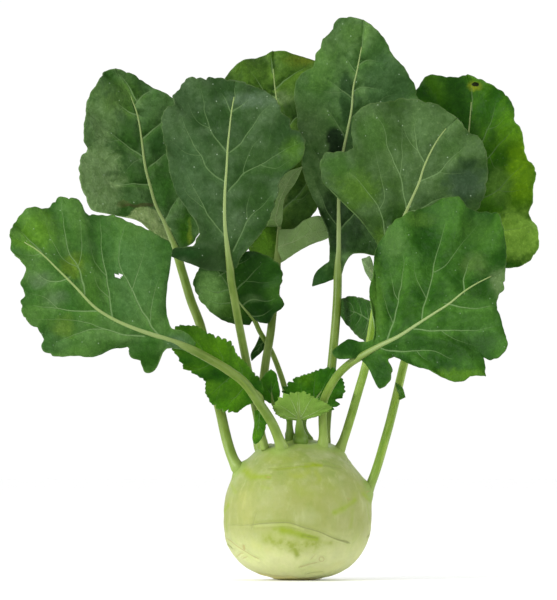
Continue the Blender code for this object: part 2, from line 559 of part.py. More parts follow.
def build_tube(name, leaf, group, grow=0.0, finish=None):
    """A stalk and its rib as one tapering tube."""
    route = [Vector(p) for p in leaf.stalk + leaf.blade.rib[1:]]
    keys = lengths_along(route)
    blade_start = keys[len(leaf.stalk) - 1]
    count = max(6, round(keys[-1] / STALK_STEP))
    curve = bpy.data.curves.new(name, "CURVE")
    curve.dimensions = "3D"
    curve.bevel_depth = MM
    curve.bevel_resolution = STALK_BEVEL
    curve.use_fill_caps = True
    spline = curve.splines.new("POLY")
    spline.points.add(count)
    for i, point in enumerate(spline.points):
        walked = keys[-1] * i / count
        point.co = (*(on_curve(keys, route, walked) * MM), 1)
        point.radius = stalk_radius(leaf, walked, 0.06 * keys[-1] + 6, blade_start, keys[-1]) + grow
    guide = bpy.data.objects.new(name + "_guide", curve)
    group.objects.link(guide)
    bpy.context.view_layer.update()
    mesh = bpy.data.meshes.new_from_object(guide.evaluated_get(bpy.context.evaluated_depsgraph_get()))
    bpy.data.objects.remove(guide)
    bm = bmesh.new()
    bm.from_mesh(mesh)
    bpy.data.meshes.remove(mesh)
    bmesh.ops.remove_doubles(bm, verts=bm.verts[:], dist=1e-5)
    bmesh.ops.recalc_face_normals(bm, faces=bm.faces[:])
    bmesh.ops.triangulate(bm, faces=bm.faces[:])
    return mesh_object(name, bm, group, finish)


def build_blade(name, blade, group, finish):
    """A sheet laid out row by row from the rib, sewn up at the tip and given its thickness."""
    shares = row_shares(blade)
    rows, columns = len(shares) - 1, 2 * blade.columns
    bm = bmesh.new()
    bmesh.ops.create_grid(bm, x_segments=columns, y_segments=rows, size=1)
    for vert in bm.verts:
        share = shares[round((vert.co.y + 1) / 2 * rows)]
        vert.co = blade_point(blade, share, vert.co.x) * MM
    bmesh.ops.remove_doubles(bm, verts=bm.verts[:], dist=2e-5)
    bmesh.ops.triangulate(bm, faces=bm.faces[:])
    obj = mesh_object(name, bm, group, finish)
    solidify = obj.modifiers.new("thickness", "SOLIDIFY")
    solidify.thickness = BLADE_THICKNESS * MM
    solidify.offset = 0
    return obj


def build_leaf(leaf, group, cutters, bulb_cutter, stalk_finish, finishes):
    stem = "leaf_" + leaf.name
    stalk = build_tube(stem + "_stalk", leaf, group, finish=stalk_finish)
    cut(stalk, bulb_cutter)
    stalk_cutter = hide_cutter(build_tube(stem + "_stalk_cutter", leaf, cutters, grow=GAP))
    blades = [(stem + "_blade", leaf.blade)]
    blades += [(f"{stem}_lobe_{i + 1}", lobe) for i, lobe in enumerate(leaf.lobes)]
    for name, blade in blades:
        cut(build_blade(name, blade, group, finishes[blade.colour]), stalk_cutter)


def main():
    clear_scene()
    group = collection("kohlrabi")
    cutters = collection("cutters")
    stalk_finish = material("stalk", STALK_GREEN, 0.5)
    finishes = {
        BLADE_GREEN: material("leaf", BLADE_GREEN, 0.5),
        YOUNG_GREEN: material("young_leaf", YOUNG_GREEN, 0.45),
        UNDER_GREEN: material("leaf_under_side", UNDER_GREEN, 0.6),
    }
    build_bulb("bulb", group, finish=material("bulb", BULB_GREEN, 0.5))
    bulb_cutter = hide_cutter(build_bulb("bulb_cutter", cutters, grow=GAP))
    for leaf in LEAVES:
        build_leaf(leaf, group, cutters, bulb_cutter, stalk_finish, finishes)


main()
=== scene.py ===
"""A kohlrabi as pulled and washed: its waxy bulb with the scars of the leaves it has shed, the pale stalks
and ribs, and the dark, veined and waved blades.

Tables of points, and the sizes under a heading that says mm, are in millimetres. Everything else is in
metres. +X is right, -Y is the front, +Z is up.
"""

import math
from dataclasses import dataclass
from types import SimpleNamespace

import bmesh
import bpy
import numpy as np
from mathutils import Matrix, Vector, noise


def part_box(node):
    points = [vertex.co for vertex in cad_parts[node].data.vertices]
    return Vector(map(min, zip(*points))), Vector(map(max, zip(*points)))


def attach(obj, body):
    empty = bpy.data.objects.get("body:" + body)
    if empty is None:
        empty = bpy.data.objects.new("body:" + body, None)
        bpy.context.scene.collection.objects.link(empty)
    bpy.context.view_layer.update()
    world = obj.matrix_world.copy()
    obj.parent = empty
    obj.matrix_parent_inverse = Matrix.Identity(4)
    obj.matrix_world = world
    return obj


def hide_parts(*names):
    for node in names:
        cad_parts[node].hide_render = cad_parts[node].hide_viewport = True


bl_info = {
    "name": "Kohlrabi",
    "version": (1, 0, 0),
    "blender": (4, 5, 0),
    "location": "3D View > Sidebar > Kohlrabi",
    "description": "Builds a kohlrabi with its leaves, piece by piece",
    "category": "Add Mesh",
}

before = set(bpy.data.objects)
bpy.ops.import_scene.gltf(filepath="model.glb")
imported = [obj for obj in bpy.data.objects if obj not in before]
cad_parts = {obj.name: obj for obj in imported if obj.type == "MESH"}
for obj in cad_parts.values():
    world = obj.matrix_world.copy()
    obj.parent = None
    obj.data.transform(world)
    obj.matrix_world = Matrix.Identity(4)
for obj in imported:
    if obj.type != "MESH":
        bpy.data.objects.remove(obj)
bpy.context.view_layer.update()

MM = 0.001
TAU = 2 * math.pi
ROOM = 0.006  # how far a piece may leave the box of its plain solid, as a stalk starts deeper in the bulb

# ---------------------------------------------------------------- the bulb, mm
BULB_HEIGHT = 74.5
BULB_RADIUS = 40.0
BULB_WIDEST = 34.0
FOOT_RADIUS = 13.5
BULB_SQUARE = (0.92, 0.86)  # above its widest part and below: 1 is an ellipse, and less is squarer
FOOT_FLAT = 0.25  # how much of the foot is pressed flat
ROWS_TO_COLUMNS = 0.6
BOSS_HEIGHT = 2.2  # the bulb rises towards each stalk
BOSS_REACH = 7.0
COLLAR_HEIGHT = 1.7  # and rises more, close round it
COLLAR_REACH = 4.8
FOOT_GREEN_REACH = 6.5  # the green of a stalk's foot spreads this far over the bulb
ROOT_EDGE = (0.6, 4.4)  # the root's cork thins out between these heights
NO_LINE = 40.0  # the distance that stands for no line at all
MARK_WOBBLE = 0.35  # how far the marks waver, and over what length
MARK_WAVE = 6

# ---------------------------------------------------------------- the stalks and ribs, mm
STALK_ROOT = 5.0  # a stalk starts this far under the bulb's skin
NECK = 6  # and its foot has narrowed this far above it
FOOT_AT_MOST = 1.18  # of the radius above the foot
FLARE = 0.15  # of the foot's radius, where the stalk leaves the bulb
HEART_FLARE = 0.5
FLARE_FALL = 2.2
RIB_BASE = 0.42  # a rib's radius, as shares of the stalk's at the blade and of its own at the end
RIB_TIP = 0.36
RIB_FADE = 0.17  # the share of the rib over which the stalk thins to it
FLATTENS_FROM = 9  # the tube flattens from here, before the blade, to there, inside it
FLATTENS_TO = 22
FLATNESS = 0.42
WANDER = 0.35  # how far a stalk wanders sideways, and over what length
WANDER_WAVE = 24
GROOVE_HALF = 0.55  # radians
FOOT_GREEN_FALL = 8.0  # the green of the foot fades over this length of stalk
FIBRE_RADIUS = 2.4  # fibres are laid out as on a tube of this radius
# Each stalk's painted light and shade (Look.stalk) scales these colours, so they are given brighter for the
# most brightly lit stalks
BRIGHTEST = 1.3  # the stalk colours are given this much brighter than a plain stalk

# ---------------------------------------------------------------- the blades, mm
FINE_TEETH = 4.5  # a margin with teeth closer than this takes finer cells
FINE_CELLS = 0.6
NARROW_ROWS = 0.7  # the rows of a narrow blade are this much closer
SMALL_BLADE = 30  # a blade that reaches less than this from its rib has finer veins
VEIN_HALF = (0.58, 0.20)  # half widths at the start and at the end
TWIG_HALF = (0.32, 0.15)
VEIN_WOBBLE = 0.7
NO_VEIN = 60.0  # the distance that stands for no vein at all
BLADE_LUMPS = ((1.1, 19), (0.42, 8), (0.16, 3.5))  # height and size
RIGHT_WALK = 500.0  # added along the right margin, so that its teeth differ from the left's
SOFT_EDGE = 0.9

# ---------------------------------------------------------------- the bulb's skin, mm
# Marks on one third of the skin, as lines (sideways, height) seen from its front. They repeat round the bulb
# at the turns below, as (turn, side, lift).
MARK_TURNS = ((0, 1, 0.0), (121, -1, 3.0), (239, 1, -3.0))
SKIN_LINES = (
    # tone (0 cork, 1 tan), strength, half width at the start and at the end, line
    (0.0, 0.40, 0.22, 0.25, ((-36, 30.4), (-30, 30.4), (-25, 30.6))),
    (0.0, 0.75, 0.26, 0.32,
     ((-25, 30.6), (-15, 31.9), (-9, 32.2), (-3.6, 31.9), (2.6, 29.9), (12.4, 26.8), (19.8, 23.6))),
    (0.0, 0.85, 0.32, 0.75, ((19.8, 23.6), (23.8, 22.2), (27, 21.0))),
    (0.0, 0.40, 0.24, 0.24, ((-15, 60.9), (-8, 61.6), (1, 62.9), (7, 63.0))),
    (0.0, 0.45, 0.22, 0.20, ((14.5, 62.6), (18, 62.0), (22.5, 60.8))),
    (0.0, 0.45, 0.20, 0.24, ((-22.2, 37.2), (-23.5, 33.5), (-24.8, 29))),
    (0.0, 0.50, 0.30, 0.35, ((3.5, 25.0), (6.5, 24.1), (10, 23.8))),
    (0.0, 0.50, 0.20, 0.20, ((5, 4.1), (9, 4.8), (13.5, 5.1))),
    (1.0, 0.60, 0.26, 0.22, ((-38, 23), (-34, 20), (-30.6, 17.6), (-26, 14.5), (-21, 12.1))),
    (1.0, 0.65, 0.85, 0.60, ((-29, 19), (-28.6, 17.4))),
    (1.0, 0.50, 0.45, 0.35, ((-31.8, 14), (-30.8, 15.2), (-29.6, 15.1))),
    (1.0, 0.50, 0.45, 0.45, ((-28.8, 12.4), (-27.7, 12.8))),
    (1.0, 0.50, 0.26, 0.26,
     ((11.6, 12), (12.2, 13.4), (13.6, 13.3), (14.3, 12), (13.4, 10.8), (12.1, 10.9), (11.6, 12))),
    (1.0, 0.45, 0.50, 0.30, ((1.8, 8), (4.5, 8.6), (7.5, 9.6), (10.5, 10.3))),
    (1.0, 0.50, 0.45, 0.45, ((-16.2, 56.4), (-15, 56.4))),
    (1.0, 0.45, 0.40, 0.40, ((27.4, 44.9), (28, 44.7))),
    (1.0, 0.40, 0.30, 0.30, ((9, 14.2), (7.5, 12.6))),
)
SKIN_PATCHES = (
    # field, strength, half width at the start and at the end, line
    ("olive", 0.60, 1.0, 2.2, ((-13, 28.6), (-10, 28.6), (-7.5, 28.2))),
    ("olive", 1.00, 2.8, 2.3, ((-8.5, 28.2), (-4, 27.2), (0.5, 25.8))),
    ("olive", 0.95, 2.2, 1.2, ((0.5, 25.6), (5, 24.6), (10.5, 23.6))),
    ("olive", 1.00, 1.15, 1.0, ((4.6, 62.5), (8, 62.8), (12.8, 62.4))),
    ("olive", 0.60, 0.8, 0.9, ((-14, 61.0), (-7, 61.2), (0, 62.0), (5, 62.6))),
    ("olive", 1.00, 1.5, 1.2, ((20.0, 37.4), (25, 39.7), (28.2, 41.4), (31, 44))),
    ("olive", 0.45, 0.9, 0.9, ((29.9, 38.5), (29.6, 34), (28.8, 29.5))),
    ("olive", 0.85, 2.2, 1.3, ((-28.8, 59.6), (-26, 57.4), (-21, 56.4), (-15, 56.5))),
    ("olive", 0.35, 1.0, 1.0, ((-19, 51), (-14, 50.3))),
    ("olive", 0.50, 1.0, 1.0, ((-35.4, 51.8), (-33.6, 48.2))),
    ("olive", 0.45, 1.6, 1.2, ((-14, 69.5), (-11, 68.5))),
    ("mottle", 1.00, 3.6, 4.2, ((-16, 23.5), (-10, 21.5), (-3, 19.2), (3, 19.0), (9, 21))),
    ("mottle", 1.00, 2.6, 2.0, ((-5, 21.5), (-1, 17.5), (0, 14.6))),
    ("mottle", 0.70, 1.8, 1.4, ((11, 21.6), (18, 21))),
    ("mottle", 1.00, 2.2, 1.8, ((-3.5, 57.8), (2.4, 57.4), (6, 59.4))),
    ("mottle", 0.85, 1.4, 1.8, ((9.8, 59.6), (12, 56.4), (11.4, 54))),
    ("mottle", 0.55, 3.0, 2.8, ((-3, 53), (3, 49), (9, 47))),
    ("mottle", 0.55, 2.8, 2.4, ((-17, 66), (-8, 65), (-1, 66.5))),
    ("mottle", 0.45, 3.4, 3.0, ((16, 53), (21, 47), (24, 40))),
    ("mottle", 0.50, 2.0, 1.6, ((-31, 63), (-26, 60), (-24, 52), (-27, 46))),
    ("mottle", 0.55, 2.0, 1.4, ((31, 47), (26, 42), (22, 38))),
    ("yellow", 0.40, 3.6, 3.8, ((-28.6, 46), (-28.4, 40), (-27.6, 33))),
    ("yellow", 0.45, 1.8, 2.0, ((8, 6.4), (16, 7.2), (24, 10))),
    ("yellow", 0.40, 2.6, 2.6, ((-24, 20), (-16, 17))),
    # lip: a pale band under a scar line, which is raised there; partly paler skin, partly a painted highlight
    # along it
    ("lip", 0.60, 0.7, 0.6, ((-23, 29.6), (-12, 30.6), (-4, 30.6), (3, 28.6))),
    ("lip", 0.25, 0.7, 0.6, ((9, 61.4), (15, 61.2), (21, 59.2))),
    ("lip", 0.25, 1.0, 0.8, ((18, 26.4), (26, 25.6), (30, 27))),
)


@dataclass
class Blade:
    """A leaf's flat part. rib: points where its rib runs, base to end. left and right: margin points from
    base to tip, each with the share of the rib from which the side vein to it starts, as (share, x, z).
    lean: how far back the blade lies for each millimetre to the right and up."""

    rib: list
    left: list
    right: list
    lean: tuple = (0.0, 0.15)
    ruffle: float = 2.4
    waves: float = 4.5
    cup: float = 0.05
    upper: int = 1  # 1 where the upper face looks to the front, -1 where the under face does
    narrow: bool = False  # its rows are closer


@dataclass
class Leaf:
    """stalk: points from inside the bulb to the blade's base. girth: radius at the foot, just above it, at
    the blade's base and at the rib's end. lobes: loose leaflets that grow on the stalk."""

    name: str
    stalk: list
    girth: tuple
    blade: Blade
    lobes: tuple = ()


@dataclass
class Look:
    """How a blade is finished. Colours are linear RGB: deep and light are mixed by cloudy noise and by the
    blade's
    swells, as painted shade in its hollows and painted light on its swells; under is for the under side.
    veins:
    lines (x, z) that leave the rib. twigs: finer lines that leave the veins. patches: (x, z, half width, half
    height, colour, share) of a patch of another green, and how soft its edge is, if not SOFT_EDGE; some are
    the leaf's own colour, some painted shadow where other leaves shade it, some painted light where light
    shines
    through it. crease: how strongly the painted shade and light of the folds beside the veins show.
    spread: millimetres added to the margin. stalk: how bright the stalk is painted at its foot and at the
    blade, as painted light and shade, and the share of its girth that it has at the blade."""

    deep: tuple
    light: tuple
    under: tuple = (0.15, 0.23, 0.10)
    bloom: float = 0.5  # waxy grey bloom
    puff: float = 1.1  # mm that the blade swells between its veins
    teeth: tuple = (0.45, 9.0)  # height and spacing of the margin's teeth, mm
    vein: float = 1.0  # how plainly the veins show
    veins: tuple = ()
    twigs: tuple = ()
    crease: float = 0.4
    spread: float = 0.0
    stalk: tuple = (1.0, 0.9, 1.0)
    patches: tuple = ()
    holes: tuple = ()  # (x, z, half width, half height) of a hole eaten through the blade


LEAVES = [
    Leaf(
        "front_left",
        [
            (-7, -15, 68), (-9, -19, 74), (-14, -25, 86), (-21, -31, 97), (-29, -36, 108), (-38, -41, 115),
            (-48, -46, 121), (-57, -50, 126),
        ],
        (4.2, 2.7, 2.3, 0.8),
        Blade(
            rib=[
                (-57, -50, 126), (-68, -54, 131), (-80, -58, 135), (-90, -61, 138.5), (-100, -63, 143),
                (-110, -65, 149.5), (-120, -66, 160), (-130, -66, 170), (-140, -65, 179.5),
                (-148, -64, 184.5),
            ],
            left=[
                (0, -58, 124), (0.06, -64, 126.5), (0.12, -70.5, 126), (0.131, -74.4, 121.5),
                (0.14, -75.6, 116.8), (0.148, -77.2, 113.7), (0.156, -79.8, 112.3), (0.164, -82.7, 113.6),
                (0.172, -85, 117.8), (0.185, -91, 123), (0.205, -92.5, 127.6), (0.235, -100, 126.8),
                (0.27, -107, 123.5), (0.31, -115, 121), (0.36, -125, 121), (0.41, -132, 122),
                (0.46, -138.5, 128), (0.5, -138, 134.5), (0.54, -143, 137.5), (0.59, -148.5, 143),
                (0.65, -149.8, 152), (0.69, -147.5, 156), (0.73, -150, 162), (0.77, -147, 168),
                (0.81, -150, 173), (0.88, -154.5, 179), (1, -156, 187),
            ],
            right=[
                (0, -55, 129.5), (0.06, -61, 135), (0.12, -68, 136.5), (0.15, -70, 141.5),
                (0.175, -71.5, 152), (0.2, -70, 166), (0.225, -68, 181), (0.26, -79, 188), (0.31, -91, 193),
                (0.38, -104, 198), (0.45, -115, 199), (0.5, -118, 204.5), (0.6, -130, 207),
                (0.68, -136, 202), (0.77, -146, 201), (0.88, -153, 195.5), (1, -156, 187),
            ],
            lean=(0.0, 0.42), ruffle=2.6,
        ),
    ),
    Leaf(
        "back_left",
        [
            (-29, -7, 57), (-33, -8, 62), (-36.5, -5, 70), (-40, 0, 82), (-43, 6, 95), (-48, 13, 115),
            (-53, 20, 138), (-58, 25, 152), (-63, 29, 168), (-66, 30, 178),
        ],
        (4.4, 2.9, 2.3, 0.8),
        Blade(
            rib=[
                (-66, 30, 178), (-72, 33, 193), (-77, 36, 203), (-80, 38, 213), (-83, 40, 225),
                (-85, 43, 240), (-87, 45, 252), (-91, 47, 263.5),
            ],
            left=[
                (0, -68.5, 179), (0.04, -74, 184), (0.08, -79, 188), (0.12, -85, 193), (0.16, -93, 196.5),
                (0.2, -102, 198.5), (0.24, -111, 201), (0.28, -115, 207), (0.33, -119, 214),
                (0.38, -120, 222), (0.43, -117.5, 230), (0.48, -114, 234), (0.52, -117, 238),
                (0.58, -117.5, 246), (0.66, -115, 254), (0.74, -113.5, 263), (0.82, -108.5, 271.5),
                (0.9, -105, 276), (1, -100, 277),
            ],
            right=[
                (0, -63, 180), (0.04, -58, 183), (0.1, -54, 192), (0.2, -50, 205), (0.32, -49, 220),
                (0.45, -50, 235), (0.58, -56, 248), (0.7, -65, 257), (0.8, -76, 265), (0.91, -89, 273.5),
                (1, -100, 277),
            ],
            lean=(0.35, 0.2), ruffle=2.6,
        ),
    ),
    Leaf(
        "mid_left",
        [
            (-18, -1, 69), (-19.5, -2, 75), (-22, -4, 90), (-25, -6, 105), (-28, -8, 120), (-31, -9, 135),
            (-34, -10, 152), (-36, -11, 163), (-36.5, -11, 169),
        ],
        (3.6, 2.3, 2.5, 0.8),
        Blade(
            rib=[
                (-36.5, -11, 169), (-38, -12, 180), (-39.5, -12, 195), (-39.5, -11, 210), (-38.5, -9, 225),
                (-38, -7, 235), (-37, -5, 245), (-36, -3, 254), (-34.5, -1, 263),
            ],
            left=[
                (0, -40, 168), (0.015, -49, 168.5), (0.03, -57, 171.5), (0.045, -64, 174),
                (0.06, -69, 176.5), (0.08, -67, 180.5), (0.1, -58, 181), (0.12, -55, 184), (0.15, -54, 191),
                (0.2, -59, 200), (0.26, -66, 211), (0.33, -70, 223), (0.41, -71.5, 234), (0.48, -73.5, 243),
                (0.54, -74, 251), (0.58, -71, 256.5), (0.61, -67, 258.5), (0.64, -68, 263),
                (0.68, -64.5, 266.5), (0.73, -62, 271), (0.78, -58, 273), (0.84, -52, 272.3),
                (0.9, -46, 273.5), (1, -34, 271.5),
            ],
            right=[
                (0, -33, 170), (0.05, -31, 175), (0.09, -26, 181), (0.13, -21, 187), (0.18, -17, 193),
                (0.24, -13.5, 201), (0.3, -11, 209), (0.36, -9.5, 217), (0.42, -5.5, 222),
                (0.47, -1, 225.5), (0.52, 3, 230), (0.57, 4, 237), (0.61, 2, 243.5), (0.64, -3, 245),
                (0.67, -4, 250), (0.71, -8.5, 254), (0.76, -11, 259.5), (0.83, -17, 265.5), (0.9, -25, 269),
                (1, -34, 271.5),
            ],
            lean=(0.04, 0.18), ruffle=1.8,
        ),
    ),
    Leaf(
        "tall_back",
        [
            (14, 2, 69), (15, 2, 76), (16.1, 3, 90), (18.1, 5, 110), (20.5, 7, 135), (21.8, 10, 155),
            (22, 12, 165),
        ],
        (3.8, 2.6, 2.3, 0.8),
        Blade(
            rib=[
                (22, 12, 165), (22.3, 15, 178), (22.5, 17, 192), (22.5, 18, 205), (23, 20, 218),
                (24.5, 22, 231), (27, 24, 243), (29.5, 25, 256), (30.5, 27, 268), (32.5, 28, 277),
                (35, 30, 290),
            ],
            left=[
                (0, 20, 164), (0.012, 15, 161.5), (0.024, 8, 159.5), (0.036, 9, 165), (0.05, 13.5, 170.5),
                (0.07, 17.5, 174), (0.1, 17.5, 183), (0.14, 16, 191), (0.19, 13, 198), (0.24, 10.5, 204),
                (0.3, 7, 211), (0.36, 4, 219), (0.43, 2, 230), (0.5, 0.5, 242), (0.56, 0, 253),
                (0.61, -1.5, 262), (0.66, -1, 270), (0.7, 3, 276), (0.735, 9, 279.5), (0.765, 10, 285),
                (0.8, 13, 289.5), (0.84, 14.5, 294.5), (0.88, 18, 297.5), (0.91, 20, 302.5),
                (0.94, 23, 305.5), (0.97, 28.5, 306.3), (1, 36, 304.3),
            ],
            right=[
                (0, 24, 166), (0.05, 26.5, 173), (0.09, 31.5, 177.5), (0.12, 36.5, 177.5),
                (0.15, 42, 176.5), (0.19, 48, 181), (0.23, 53, 189), (0.31, 58, 200), (0.39, 62, 214),
                (0.47, 66, 230), (0.54, 67.5, 245), (0.59, 66.5, 257), (0.64, 64.5, 267), (0.69, 61, 274.5),
                (0.74, 56, 281), (0.79, 51.5, 286), (0.86, 49, 292), (0.93, 44, 298.5), (1, 36, 304.3),
            ],
            lean=(-0.05, 0.15), ruffle=2.4,
        ),
    ),
    Leaf(
        "front_right",
        [
            (13, -9, 69), (14, -10, 76), (13.7, -13, 87), (14.2, -17, 97), (17, -21, 104), (22, -26, 112),
            (28, -32, 118), (34, -37, 122),
        ],
        (3.6, 2.3, 2.1, 0.8),
        Blade(
            rib=[
                (34, -37, 122), (45, -42, 128.5), (55, -46, 133.5), (65, -50, 140), (75, -53, 146.5),
                (82, -55, 151), (90, -57, 157.5), (97, -58, 162), (105, -58, 166),
            ],
            left=[
                (0, 31, 121), (0.01, 23, 120.3), (0.02, 18.7, 124), (0.03, 22.5, 128), (0.04, 28, 131.3),
                (0.065, 34, 130), (0.1, 41, 130.5), (0.12, 42, 137), (0.135, 40.5, 146), (0.15, 39, 156),
                (0.17, 41.3, 165), (0.195, 41.5, 173), (0.225, 43, 181), (0.26, 47, 187), (0.3, 51, 192.5),
                (0.36, 57, 196), (0.41, 64, 200), (0.46, 72, 203), (0.52, 79, 206), (0.58, 87, 206.5),
                (0.63, 92, 202), (0.68, 99, 200.5), (0.75, 108, 199), (0.82, 111.5, 190), (0.9, 113.3, 179),
                (1, 112.5, 168),
            ],
            right=[
                (0, 35, 120.2), (0.015, 39, 115), (0.03, 41.7, 109), (0.042, 44.5, 103.7),
                (0.056, 49.5, 107), (0.07, 51.3, 113), (0.09, 49, 119), (0.14, 53, 121.7), (0.22, 62, 118),
                (0.3, 72, 113), (0.37, 80, 110), (0.44, 87, 108.5), (0.5, 95, 110.3), (0.56, 102, 110),
                (0.6, 101.5, 117), (0.63, 101, 121.5), (0.67, 105, 120), (0.71, 110, 121.5),
                (0.75, 113.7, 126.5), (0.8, 112, 135), (0.84, 110, 143), (0.89, 107.7, 152),
                (0.94, 111.5, 158), (1, 112.5, 168),
            ],
            lean=(0.0, 0.42), ruffle=2.6,
        ),
    ),
    Leaf(
        "mid_right",
        [
            (21, -1, 66), (23.4, -1, 72), (26.9, -2, 82), (30.5, -3, 93), (34, -4, 105), (37.4, -5, 118),
            (39.9, -6, 132), (42, -6, 145), (44, -7, 157), (47, -8, 168),
        ],
        (3.8, 2.4, 2.2, 0.8),
        Blade(
            rib=[
                (47, -8, 168), (50, -8, 178), (54, -8, 189), (58, -8, 198), (62, -7, 207), (66, -6, 216),
                (68.5, -5, 224), (72, -4, 232), (76.5, -3, 240), (81, -2, 246),
            ],
            left=[
                (0, 46, 169.5), (0.045, 46.3, 177), (0.085, 41.5, 186), (0.13, 34, 196), (0.17, 28, 202),
                (0.22, 20, 210), (0.27, 13.5, 218), (0.32, 12.5, 226), (0.36, 16, 232), (0.4, 24, 232.5),
                (0.44, 30.5, 235), (0.48, 29.5, 244), (0.53, 32.5, 254), (0.58, 40, 258.5), (0.64, 49, 260),
                (0.71, 57, 262), (0.78, 64, 261), (0.85, 71, 260), (0.92, 79, 257), (1, 87, 251),
            ],
            right=[
                (0, 50, 168), (0.05, 57, 172), (0.12, 66, 178), (0.2, 77, 185), (0.28, 87, 192),
                (0.36, 95, 199), (0.44, 100, 205), (0.52, 102.5, 212), (0.6, 103.5, 220),
                (0.68, 103.5, 228), (0.75, 101.5, 236), (0.8, 98.5, 241), (0.86, 94, 243),
                (0.93, 90.5, 247), (1, 87, 251),
            ],
            lean=(-0.05, 0.15), ruffle=2.2,
        ),
        lobes=(
            Blade(
                rib=[(40, -6, 141), (33, 6, 145), (25.5, 17, 147.4)],
                left=[(0, 38.5, 128.3), (0.35, 33, 133.3), (0.7, 26, 140.3), (1, 20.5, 148)],
                right=[(0, 42, 151), (0.35, 36, 153.5), (0.7, 28, 154.3), (1, 20.5, 148)], lean=(-1.3, 0.0),
                ruffle=0.8, waves=1.5,
            ),
            Blade(
                rib=[(44.5, -8.5, 162), (41, -14, 167), (38, -17, 171.5)],
                left=[(0, 43.5, 158.5), (0.4, 39, 164.5), (0.8, 35.7, 171), (1, 35, 175)],
                right=[(0, 44, 164.5), (0.4, 41.5, 170), (0.75, 38.8, 176.5), (1, 35, 175)],
                lean=(0.0, 0.1), ruffle=0.5, waves=1.5, upper=-1, narrow=True,
            ),
        ),
    ),
    Leaf(
        "back_right",
        [
            (34.5, -5, 44), (38.5, -5, 49), (43.5, -2, 62), (48.1, 3, 77), (52.1, 8, 93), (55.6, 13, 107),
            (59, 18, 121), (64, 22, 138), (71, 27, 156), (78, 31, 171), (84, 34, 184),
        ],
        (4.2, 2.5, 2.1, 0.8),
        Blade(
            rib=[
                (84, 34, 184), (88, 37, 194), (91.5, 41, 208), (93.3, 45, 222), (93, 47, 236),
                (94, 50, 248), (95, 53, 260),
            ],
            left=[
                (0, 80, 182), (0.06, 73, 188), (0.14, 67, 198), (0.24, 63, 212), (0.36, 61, 228),
                (0.48, 61, 243), (0.58, 62, 255), (0.66, 65.5, 265), (0.74, 70, 270), (0.82, 76, 273),
                (0.9, 84, 272.8), (1, 94, 273.2),
            ],
            right=[
                (0, 85.3, 182.7), (0.05, 95, 173), (0.1, 104, 169.5), (0.16, 113, 170), (0.21, 121, 171.5),
                (0.26, 129, 176), (0.31, 132.5, 184), (0.36, 131, 191), (0.41, 127, 196),
                (0.45, 125.5, 200), (0.49, 128.5, 206), (0.54, 129.5, 214), (0.59, 130, 221),
                (0.63, 127, 226.5), (0.67, 123.7, 230), (0.71, 123.7, 237), (0.75, 122.5, 244),
                (0.79, 118.5, 249), (0.84, 117, 257), (0.89, 111, 265), (0.95, 103, 269.5), (1, 94, 273.2),
            ],
            lean=(-0.35, 0.25), ruffle=3.0,
        ),
        lobes=(
            Blade(
                rib=[(54.2, 9.5, 103.5), (56.5, 8, 101.5)],
                left=[(0, 53.5, 107), (0.5, 57, 104.5), (1, 58.7, 99.5)],
                right=[(0, 53.5, 99.5), (0.5, 55.5, 98.3), (1, 58.7, 99.5)], lean=(-0.4, 0.0), ruffle=0.2,
                waves=1, narrow=True,
            ),
        ),
    ),
    Leaf(
        "back_middle",
        [
            (-19, 8, 68), (-21, 9, 75), (-21, 10, 90), (-19, 12, 105), (-17, 15, 120), (-14.5, 18, 135),
            (-13, 21, 148), (-11.5, 25, 160), (-11, 29, 172),
        ],
        (3.6, 2.4, 2.1, 0.8),
        Blade(
            rib=[
                (-11, 29, 172), (-10, 36, 190), (-9, 43, 207), (-9, 50, 225), (-10, 58, 243),
                (-11, 64, 258), (-12.5, 69, 270), (-13.2, 72, 278),
            ],
            left=[
                (0, -14, 171), (0.04, -20.5, 173.5), (0.08, -26, 178), (0.13, -28.5, 186), (0.18, -30, 195),
                (0.28, -34, 210), (0.38, -39, 226), (0.48, -43, 242), (0.58, -44, 256), (0.66, -42.5, 266),
                (0.73, -38.5, 274), (0.82, -30, 281), (0.91, -21.5, 284.5), (1, -13.3, 286.7),
            ],
            right=[
                (0, -10, 172), (0.05, -9, 179), (0.09, -7, 184.5), (0.13, -1, 190.5), (0.18, 7, 197),
                (0.23, 11, 203), (0.3, 14, 214), (0.4, 17, 230), (0.5, 19, 246), (0.6, 19.5, 258),
                (0.7, 18, 270), (0.8, 12, 280), (0.9, 0, 285.3), (1, -13.3, 286.7),
            ],
            lean=(0.0, 0.4), ruffle=2.6,
        ),
        lobes=(
            Blade(
                rib=[(-10.5, 31, 181), (-2, 24, 184), (6, 22, 188), (14, 24, 190)],
                left=[
                    (0, -10, 190.5), (0.3, -2, 190.8), (0.5, 4, 195.5), (0.7, 11, 198), (0.88, 17, 195.5),
                    (1, 22, 190),
                ],
                right=[
                    (0, -11, 171), (0.25, -5, 174.8), (0.5, 2, 179.5), (0.7, 9, 183), (0.88, 16, 185.5),
                    (1, 22, 190),
                ],
                lean=(0.1, 0.0), ruffle=1.2, waves=1.5, upper=-1,
            ),
            Blade(
                rib=[
                    (-10.5, 33, 192), (-12, 29, 196), (-11, 29, 200.5), (-9.6, 30.5, 206),
                    (-6.5, 33.5, 213), (-3, 36.5, 219.5), (2.5, 41, 224.6),
                ],
                left=[
                    (0, -12, 192.3), (0.07, -17, 192.3), (0.2, -15.4, 197), (0.34, -13.4, 201.5),
                    (0.46, -11.8, 206.2), (0.6, -10.8, 211), (0.74, -10.4, 216), (0.86, -8.2, 220.4),
                    (1, 2.5, 224.6),
                ],
                right=[
                    (0, -9, 192.3), (0.18, -8.2, 197), (0.36, -8, 203), (0.5, -7.2, 207),
                    (0.64, -4.2, 211.5), (0.78, -1.2, 216), (0.9, 0.8, 220.5), (1, 2.5, 224.6),
                ],
                lean=(-0.2, 0.1), ruffle=0.5, waves=1.5, upper=-1, narrow=True,
